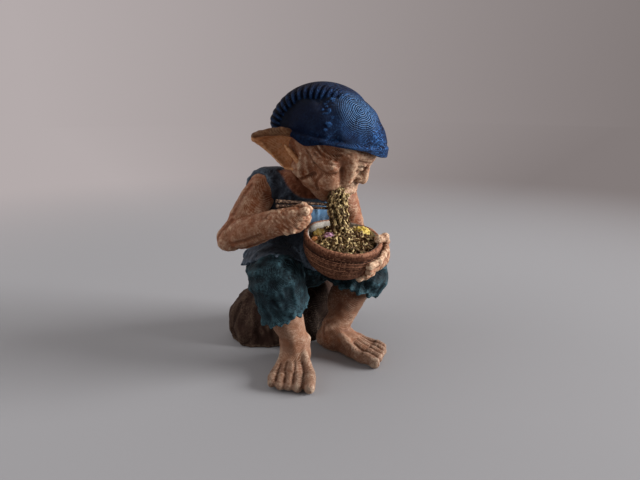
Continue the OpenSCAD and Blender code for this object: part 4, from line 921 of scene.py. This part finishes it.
rings, sides = ((300, 72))
points, marks = [], {"crest": [], "hollow": [], "painted_shade": []}
b = turns(sides)
flank = ramp(np.abs(np.cos(b)), 0.42, 0.92)
for t in np.linspace(0, 1, rings):
    a = radians(roll_start + roll_sweep * t)
    out = np.array((0, cos(a), sin(a)))
    end = sin(min(1, 9 * t, 4 * (1 - t)) * pi / 2)
    thick = roll_thick * (1 - 0.45 * t) * (0.5 + 0.5 * end)
    wide = roll_wide * (1 - 0.5 * t) * (0.7 + 0.3 * end)
    crown = 1 / hypot(out[1] / cap_half[1], out[2] / cap_half[2])
    middle = out * (crown + 1.2 * (2 * end - 1) - thick / 2 - 1.4 * (1 - t) ** 3)
    pleat = np.abs(np.sin(pi * 20 * (t + 0.0144 * np.sin(b)) + 0.5 * sin(9 * t)))
    dip = (1 - pleat ** 0.8) * flank * (1 - 0.55 * t) * min(1, 6 * (1 - t)) * min(1, 0.1 + 5 * t)
    points += list(middle + np.outer(np.cos(b) * (wide / 2 - 1.6 * dip), (1, 0, 0))
        + np.outer(np.sin(b) * (thick / 2 - 0.7 * dip), out))
    marks["crest"] += list(np.clip(pleat * flank * 1.4 - 0.6, 0, 1) * 0.35)
    # Dark wash deep in the pleats, and painted shade growing towards the nape.
    marks["hollow"] += list(np.clip(dip + 0.6 * (1 - t), 0, 1))
    marks["painted_shade"] += [min(1, 2 * (1 - t))] * sides
count = rings * sides
faces = [f[::-1] for f in tube(rings, sides)]
faces += [(i, (i + 1) % sides, count) for i in range(sides)]
faces += [(count - sides + i, count + 1, count - sides + (i + 1) % sides) for i in range(sides)]
points += [np.mean(points[:sides], 0), np.mean(points[-sides:], 0)]
marks = {mark: values + [0, 0] for mark, values in marks.items()}
set_down("cap_roll", in_head(points), faces, marks, cap_paint, "cap_paint")


# Arms: bare and sinewy, each printed as an upper arm, a forearm and a hand that are glued at elbow and wrist.
# The right fist holds the chopsticks, the left hand holds the bowl with its thumb over the rim.
right_wrist, left_wrist = np.array((-20.5, -28, 54)), np.array((17.5, -34, 42))


def bare_arm(name, shoulder, elbow, wrist, rise, seed):
    """An upper arm and a forearm. rise lifts the flesh above the wrist."""
    shoulder, elbow, rise = (np.array(v, float) for v in (shoulder, elbow, rise))
    high, low = elbow - shoulder, wrist - elbow
    way, fore = unit(high), unit(low)
    back = unit(way - fore)
    hinge = unit(np.cross(way, fore))
    upper = Clay(np.minimum(shoulder, elbow) - 9, np.maximum(shoulder, elbow) + 9, 0.32)
    upper.add(roll([(shoulder - way * 3.5, 4.6), (shoulder - way * 1, 5.9), (shoulder + high * 0.35, 5.9),
        (shoulder + high * 0.8, 4.7), (elbow, 4.8)]))
    upper.add(egg(elbow + back * 1.6, (3.6, 3.4, 3.4)), 1.5)
    upper.add(egg(shoulder + high * 0.45 - back * 2.4, (3.6, 3.6, 5.6), way), 2)
    upper.add(egg(shoulder + high * 0.5 + back * 2.4, (3.4, 3.4, 5), way), 2)
    for s in (-1, 1):
        upper.crease([shoulder + way * 4 + hinge * s * 6 - back * 1, shoulder + way * 9 + hinge * s * 6,
            shoulder + way * 15 + hinge * s * 5], 0.8, 0.55)
        upper.crease([elbow - way * 3 + hinge * s * 5 - back * 2, elbow + hinge * s * 5 + back * 0.5,
            elbow + hinge * s * 3.6 + back * 4], 0.7, 0.45)
    upper.crumple(5, 0.12, seed)
    upper.crumple(1.8, 0.05, seed + 1)
    set_down(name + "_upper_arm", *upper.skin(), skin_paint, "skin_paint")
    lower = Clay(np.minimum(elbow, wrist) - 8, np.maximum(elbow, wrist) + 8, 0.32)
    lower.add(roll([(elbow + fore * 0.5, 3.9), (elbow + low * 0.22, 4.9), (elbow + low * 0.45, 5),
        (elbow + low * 0.85, 4), (wrist - fore * 0.6, 3.9)]))
    lower.add(roll([(elbow + fore * 7 + rise, 3.4), (wrist - fore * 3 + rise * 1.3, 3.3),
        (wrist + rise * 1.1, 2.8)]), 2)
    for s, f in ((-1, 0.3), (1, 0.4)):
        lower.add(egg(elbow + low * f + hinge * s * 2.2, (3.2, 3.2, 6), fore), 1.6)
        lower.crease([elbow + fore * 3 + hinge * s * 1.4 + back * 5,
            elbow + fore * 9 + hinge * s * 1 + back * 5,
            wrist - fore * 2 + hinge * s * 0.8 + back * 4], 0.6, 0.5)
    for k in range(3):
        lower.crease([wrist - fore * (1 + 0.9 * k) + hinge * 3.8, wrist - fore * (1.3 + 0.9 * k) - back * 3.8,
            wrist - fore * (1 + 0.9 * k) - hinge * 3.8], 0.35, 0.25)
    lower.crumple(5, 0.12, seed + 2)
    lower.crumple(1.8, 0.05, seed + 3)
    set_down(name + "_forearm", *lower.skin(), skin_paint, "skin_paint")


bare_arm("right", right_shoulder, right_elbow, right_wrist, (0, 0, 1.6), 71)
bare_arm("left", left_shoulder, left_elbow, left_wrist, (0, 0, 0), 75)

fist_way = unit((0.78, -0.56, 0.28))
fist_out = unit(np.cross(fist_way, (0, 0, 1)))
fist_up = np.cross(fist_out, fist_way)


def in_fist(ahead, aside, above):
    """A point of the right hand, given from its wrist."""
    return right_wrist + fist_way * ahead + fist_out * aside + fist_up * above


def finger(clay, points, wide, nail=None):
    """A jointed finger: a thick knuckle at each point and slimmer bones between."""
    for q, r in zip(points[:-1], points[1:]):
        clay.add(bone(q, r, wide * 0.86, wide * 0.84), 0.35)
    for k, q in enumerate(points):
        clay.add(egg(q, np.ones(3) * wide * (1.06 if k < len(points) - 1 else 0.95)), 0.35)
    if nail is not None:
        clay.add(egg(points[-1] + nail * wide * 0.6, (wide * 0.6, wide * 0.6, wide * 0.4), nail), 0.15)


fist = Clay(in_fist(5.5, 0.5, 0) - 11, in_fist(5.5, 0.5, 0) + 11, 0.28)
fist.add(roll([(in_fist(-1.4, 0, 0), 3.5), (in_fist(2.5, 0.2, 0.2), 4.1), (in_fist(6.2, 0.2, 0.2), 4.3),
    (in_fist(8.4, 0.2, 0.2), 3.4)]))
fist.add(egg(in_fist(5, -1.6, -1.6), (3.2, 3.2, 4.2), fist_way), 1)
fist.add(egg(in_fist(1.2, 0.4, 2), (3.1, 3.1, 4.4), fist_way), 1.2)
for k in range(4):
    finger(fist, [in_fist(6.6 - 1.2 * k, 3, 2.6 - 1.6 * k), in_fist(10.9 - 2 * k, 3, 2.4 - 1.6 * k),
        in_fist(11.5 - 2.2 * k, -0.4, 2 - 1.55 * k), in_fist(8.6 - 1.6 * k, -2.2, 1.6 - 1.5 * k)], 1.4)
    fist.add(bone(in_fist(1.6, 2.6, 1.8 - 1.1 * k), in_fist(6.6 - 1.2 * k, 3.1, 2.6 - 1.6 * k),
        0.9, 1.0), 0.7)
finger(fist, [in_fist(2.5, -2, 2), in_fist(6, -2.4, 3.2), in_fist(10.2, -0.6, 3.4)], 1.6, fist_up)
fist.crumple(1.6, 0.1, 79)
set_down("right_hand", *fist.skin(), skin_paint, "skin_paint")

bowl_rim = np.array((0.8, -36, 48.2))
bowl_half, bowl_deep, bowl_curve, bead_half, hand_gap = 13.7, 14, 2.3, 12.9, 0.05
tip = radians(14)
bowl_turn = np.array([[1, 0, 0], [0, cos(tip), -sin(tip)], [0, sin(tip), cos(tip)]])


def in_bowl(points):
    """Points given from the middle of the bowl's rim, where they lie in the figure."""
    return bowl_rim + np.asarray(points, float) @ bowl_turn.T


def round_bowl(angle, drop, gap):
    """A point beside the bowl, a drop below its rim and a gap off its side."""
    half = bowl_half * (1 - min(max(drop / bowl_deep, 0), 1) ** bowl_curve) ** (1 / bowl_curve) + gap
    return in_bowl((cos(radians(angle)) * half, sin(radians(angle)) * half, -drop))


def bead(points):
    """How far points lie from the bead along the bowl's rim."""
    x, y, z = np.moveaxis((points - bowl_rim) @ bowl_turn, -1, 0)
    return np.hypot(np.hypot(x, y) - bead_half, z) - 1.0


hand = Clay((-9, -56, 30), (24, -27, 55), 0.3)
fore = unit((-3, -17, 0))
hand.add(roll([(left_wrist - fore * 1.2, 3.4), ((left_wrist + round_bowl(-18, 7, 3)) / 2, 3.9),
    (round_bowl(-22, 7, 2.2), 3.5), (round_bowl(-40, 7, 1), 2.6)]))
hand.add(roll([(round_bowl(-20, 3.6, 2), 2.2), (round_bowl(-24, 7, 2.2), 2.8),
    (round_bowl(-24, 11, 1.8), 2)]), 1)
for k in range(4):
    finger(hand, [round_bowl(-28, 3.4 + k * 2.5, 2.2)]
        + [round_bowl(-44 - j * (19 - 2 * k), 3.4 + k * 2.67 + 0.2 * j, 1) for j in range(3)], 1.45)
finger(hand, [round_bowl(-8, 6, 2.4), round_bowl(-16, 1.5, 2.6), round_bowl(-30, -1.9, 0.6),
    round_bowl(-40, -1.9, -1.6)], 1.6, unit(in_bowl((0, 0, 1)) - bowl_rim))
hand.crumple(1.8, 0.1, 81)
x, y, z = np.moveaxis((hand.at - bowl_rim) @ bowl_turn, -1, 0)
level = (1 - np.clip(-z / bowl_deep, 0, 1) ** bowl_curve) ** (1 / bowl_curve)
side = np.hypot(x, y) - (bowl_half + hand_gap) * level
hand.keep(-np.maximum(side, z - 0.1), 0.2)
hand.carve([(bowl_rim - 16, bowl_rim + 16, bead)], 0.2)
set_down("left_hand", *hand.skin(), skin_paint, "skin_paint")


# Bowl: a turned wooden bowl with a beaded rim, printed thin-walled, red-brown outside with the turning marks
# brushed paler, and pale grey inside.
bowl_paint = painted("bowl_paint", "#441d10", "#160804", "#bb8568", 0.9, 0.6, 0.4, 0.3, 0.55, 0.6, 0.08)
bowl_wall, foot_share = 1.6, 75 / 90


def bowl_profile(thin, share):
    """Half width and height of the bowl's side, thinned by thin, at a share of the turn from rim to foot."""
    a, power = share * pi / 2, 2 / bowl_curve
    return (bowl_half - thin) * cos(a) ** power, -(bowl_deep - thin) * sin(a) ** power


outside = []
for k in np.linspace(0.08, foot_share, 240):
    ring = 0.08 * sin(213 * k) + 0.05 * sin(131 * k + 1) + 0.04 * sin(57 * k)
    half, height = bowl_profile(0, k)
    outside.append((half + ring * 0.7 - 0.05, height, 0.45 + ring * 6, 0.5 - ring * 6, 0))
bottom = [(r, outside[-1][1], 0, 0.4, 0) for r in np.linspace(outside[-1][0] - 0.6, 0, 5)]
rim = [(bead_half + 0.92 * cos(t), 0.92 * sin(t), 0.5 + 0.5 * sin(t), 0, ramp(t, 1.9, 2.5))
    for t in np.linspace(2.7, -0.4, 18)]
inside = [(*bowl_profile(bowl_wall, k), 0.1, 0.3, 1) for k in np.linspace(foot_share, 0.08, 24)]
rows = [(0, -12.2, 0, 0.3, 1)] + inside + rim + outside + bottom
sides = 120
t = turns(sides)
wobble = 0.1 * np.sin(3 * t + 1) + 0.06 * np.sin(7 * t) + 0.05 * np.sin(23 * t + 2) + 0.04 * np.sin(41 * t)
points = []
for half, height, *_ in rows:
    uneven = half + wobble * min(1, half / 8)
    points += list(np.stack([uneven * np.cos(t), uneven * np.sin(t), np.full(sides, height)], -1))
faces = [f[:1] + f[:0:-1] for f in tube(len(rows), sides)]
marks = {name: np.repeat(np.clip([row[k] for row in rows], 0, 1), sides)
    for name, k in (("crest", 2), ("hollow", 3), ("pale", 4))}
second_coat(bowl_paint, "pale", "#a39c93", "#4a3c33", "#d5cfc6")
set_down("bowl", in_bowl(points), faces, marks, bowl_paint, "bowl_paint")


# Noodles: many soft strands heaped in the bowl and one hank lifted from it to the mouth, pinched by the
# chopsticks. Printed as two lumps, painted ochre and cream over a brown wash.
noodle_paint = painted("noodle_paint", "#6f4019", "#220f07", "#f8e0a4", 0.9, 1, 0.2, 0.2, 0.5, 0.5, 0.1)


def closed_tube(rings, sides, first):
    """The faces of a tube that is closed at both ends."""
    last = first + (rings - 1) * sides
    ends = [tuple(range(first, first + sides))[::-1], tuple(range(last, last + sides))]
    return tube(rings, sides, first) + ends


def noodles(strands, sides=8):
    """Tubes along strands, each a list of points with a half width and how pale it is painted."""
    points, faces, crest, hollow = [], [], [], []
    for path, wide, lit in strands:
        path = np.array(path, float)
        way = np.gradient(path, axis=0)
        way /= np.linalg.norm(way, axis=1)[:, None]
        side = unit(np.cross(way[0], (0.3, 0.5, 0.8)))
        base = len(points)
        ends = np.minimum(1, np.minimum(np.arange(len(path)), np.arange(len(path))[::-1]) * 0.45 + 0.3)
        for j, (q, w, e) in enumerate(zip(path, way, ends)):
            side = unit(side - w * (side @ w))
            deep = np.cross(w, side)
            blot = sin(j * 1.9 + base) + sin(j * 0.83 + 2.1 * base)
            e *= 1 + 0.16 * sin(j * 2.3 + base)
            shine = lit * (1 if blot > -0.2 else 0.1)
            for a in turns(sides):
                out = side * cos(a) + deep * sin(a)
                points.append(q + out * wide * e)
                # Painted highlight on the top of each strand and painted shade under it.
                crest.append(max(0, out[2] * 0.4 + 0.6) * shine)
                hollow.append(max(0, 0.3 - out[2] * 0.5) + (1 - shine) * 0.7)
        faces += closed_tube(len(path), sides, base)
    return points, faces, {"crest": np.clip(crest, 0, 1), "hollow": np.clip(hollow, 0, 1)}


def heap(x, y):
    """How high the noodles lie in the bowl."""
    return -1.7 + 2.7 * (1 - np.minimum(1, (np.hypot(x, y) / 12) ** 2)) + 0.07 * x - 0.03 * y


dice = np.random.default_rng(90)
strands = []
for k in range(190):
    turn = dice.uniform(0, 2 * pi)
    bend = dice.uniform(1.4, 4.5)
    reach = 10.4 * sqrt(dice.uniform(0, 1))
    first = dice.uniform(0, 2 * pi)
    t = first + np.linspace(0, dice.uniform(1.5, 3.6), 26)
    x = reach * cos(turn) + bend * (np.cos(t) - cos(first + 1))
    y = reach * sin(turn) + bend * (np.sin(t) - sin(first + 1))
    pull = np.minimum(1, 11.1 / np.maximum(np.hypot(x, y), 0.1))
    x, y = x * pull, y * pull
    z = heap(x, y) + 0.5 * np.sin(t * 2.3 + k) + 0.25 * np.sin(t * 9 + 2 * k) + dice.uniform(-0.5, 0.5)
    wide = dice.uniform(0.3, 0.45)
    strands.append((in_bowl(np.stack([x, y, z], -1)), wide, 1 if dice.uniform() < 0.5 else 0.1))
points, faces, marks = noodles(strands)
core_rings, core_sides = 12, 40
core = [(11.2 * cos(a), 11.2 * sin(a), -5) for a in turns(core_sides)]
core += [(r * cos(a), r * sin(a), heap(r * cos(a), r * sin(a)) - 0.5)
    for r in np.linspace(11.8, 0.6, core_rings) for a in turns(core_sides)]
faces += closed_tube(core_rings + 1, core_sides, len(points))
points += list(in_bowl(core))
marks = {"crest": np.append(marks["crest"], np.zeros(len(core))),
    "hollow": np.append(marks["hollow"], np.full(len(core), 0.9))}
set_down("noodle_mound", points, faces, marks, noodle_paint, "noodle_paint")

grip = np.array((1.8, -31.8, 58.3))
foot = in_bowl((0, 0.5, -2.5))
line = [(in_head((-5, -12.4, -9.4)), 2.4), (in_head((-6, -15.8, -11.2)), 3.5), (grip - (0.6, 0, 0), 3.5),
    (grip * 0.45 + foot * 0.55, 3.2), (foot, 3.6), (foot - (0, 0, 1.5), 4)]
line = spline([np.hstack(station) for station in line], 17)
strands = []
hank = 76
for k in range(hank):
    a, r = k * 2.4, sqrt((k + 0.5) / hank)
    sway = dice.uniform(0, 7)
    path = []
    for j, q in enumerate(line):
        t = j / (len(line) - 1)
        turn = a + 1.2 * t + 0.35 * sin(5 * t + sway)
        kink = 0.3 * np.sin((55 + 3 * sway) * t + sway + np.array((0, 2, 4)))
        kink += 0.2 * np.sin(19 * t + 2 * sway + np.array((1, 4, 2)))
        path.append(q[:3] + q[3] * r * np.array((cos(turn), sin(turn) * 0.85, 0)) + kink)
    start = int(dice.integers(0, 5))
    wide = dice.uniform(0.32, 0.44)
    strands.append((path[start:], wide, 1.1 if dice.uniform() < 0.62 else 0.1))
set_down("lifted_noodles", *noodles(strands, 6), noodle_paint, "noodle_paint")


# Toppings: a halved egg and soft slices, printed as small lumps that are glued on the noodles, in yellow,
# orange and pink paint.
for k, (name, spot, size, base, wash, brush) in enumerate((
        ("egg", (8.6, 1.2), (3.0, 2.8, 1.8), "#c8a531", "#6a4a16", "#ecdc8c"),
        ("slice", (-5.4, 6.4), (2.3, 2.1, 1.5), "#cfae3a", "#6a4a16", "#efe09a"),
        ("petal", (-4.8, 1.6), (2.1, 1.9, 1.3), "#9d6a84", "#4b2a3c", "#d0a5bb"),
        ("root", (-8.6, 3.6), (1.5, 1.4, 1.2), "#bd6f33", "#5d2f14", "#e6ab76"))):
    lump = Clay((spot[0] - 5, spot[1] - 5, -5), (spot[0] + 5, spot[1] + 5, 5), 0.25)
    lump.add(egg((*spot, float(heap(*spot)) + 0.3), size))
    lump.crumple(2.2, 0.25, 95 + k)
    lump.crumple(0.9, 0.16, 99 + k)
    points, faces, marks = lump.skin()
    paint = painted("topping_paint_" + name, base, wash, brush, 0.7, 0.7, 0.3, 0.2, 0.45)
    set_down("topping_" + name, in_bowl(points), faces, marks, paint, "topping_paint", "toppings")


# Chopsticks and pins: two tapered dark sticks pushed through the fist, and the bare plastic pins inside the
# glue joints. Their solids are right as they are and get their finish here.
stick_paint = painted("stick_paint", "#33211a", "#160d09", "#b8977a", 0.8, 0.5, 0.5, 0.3, 0.5, 1, 0.12, 0.5)
bare_plastic = painted("bare_plastic", "#cfc8ba", "#a9a294", "#e6e0d3", 0.3, 0.3, 0.1, 0.6, 0.45)
for name, coat in (
        ("upper_chopstick", stick_paint),
        ("lower_chopstick", stick_paint),
        ("joint_pins", bare_plastic)):
    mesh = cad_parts[name].data
    mesh.materials.clear()
    mesh.materials.append(coat)
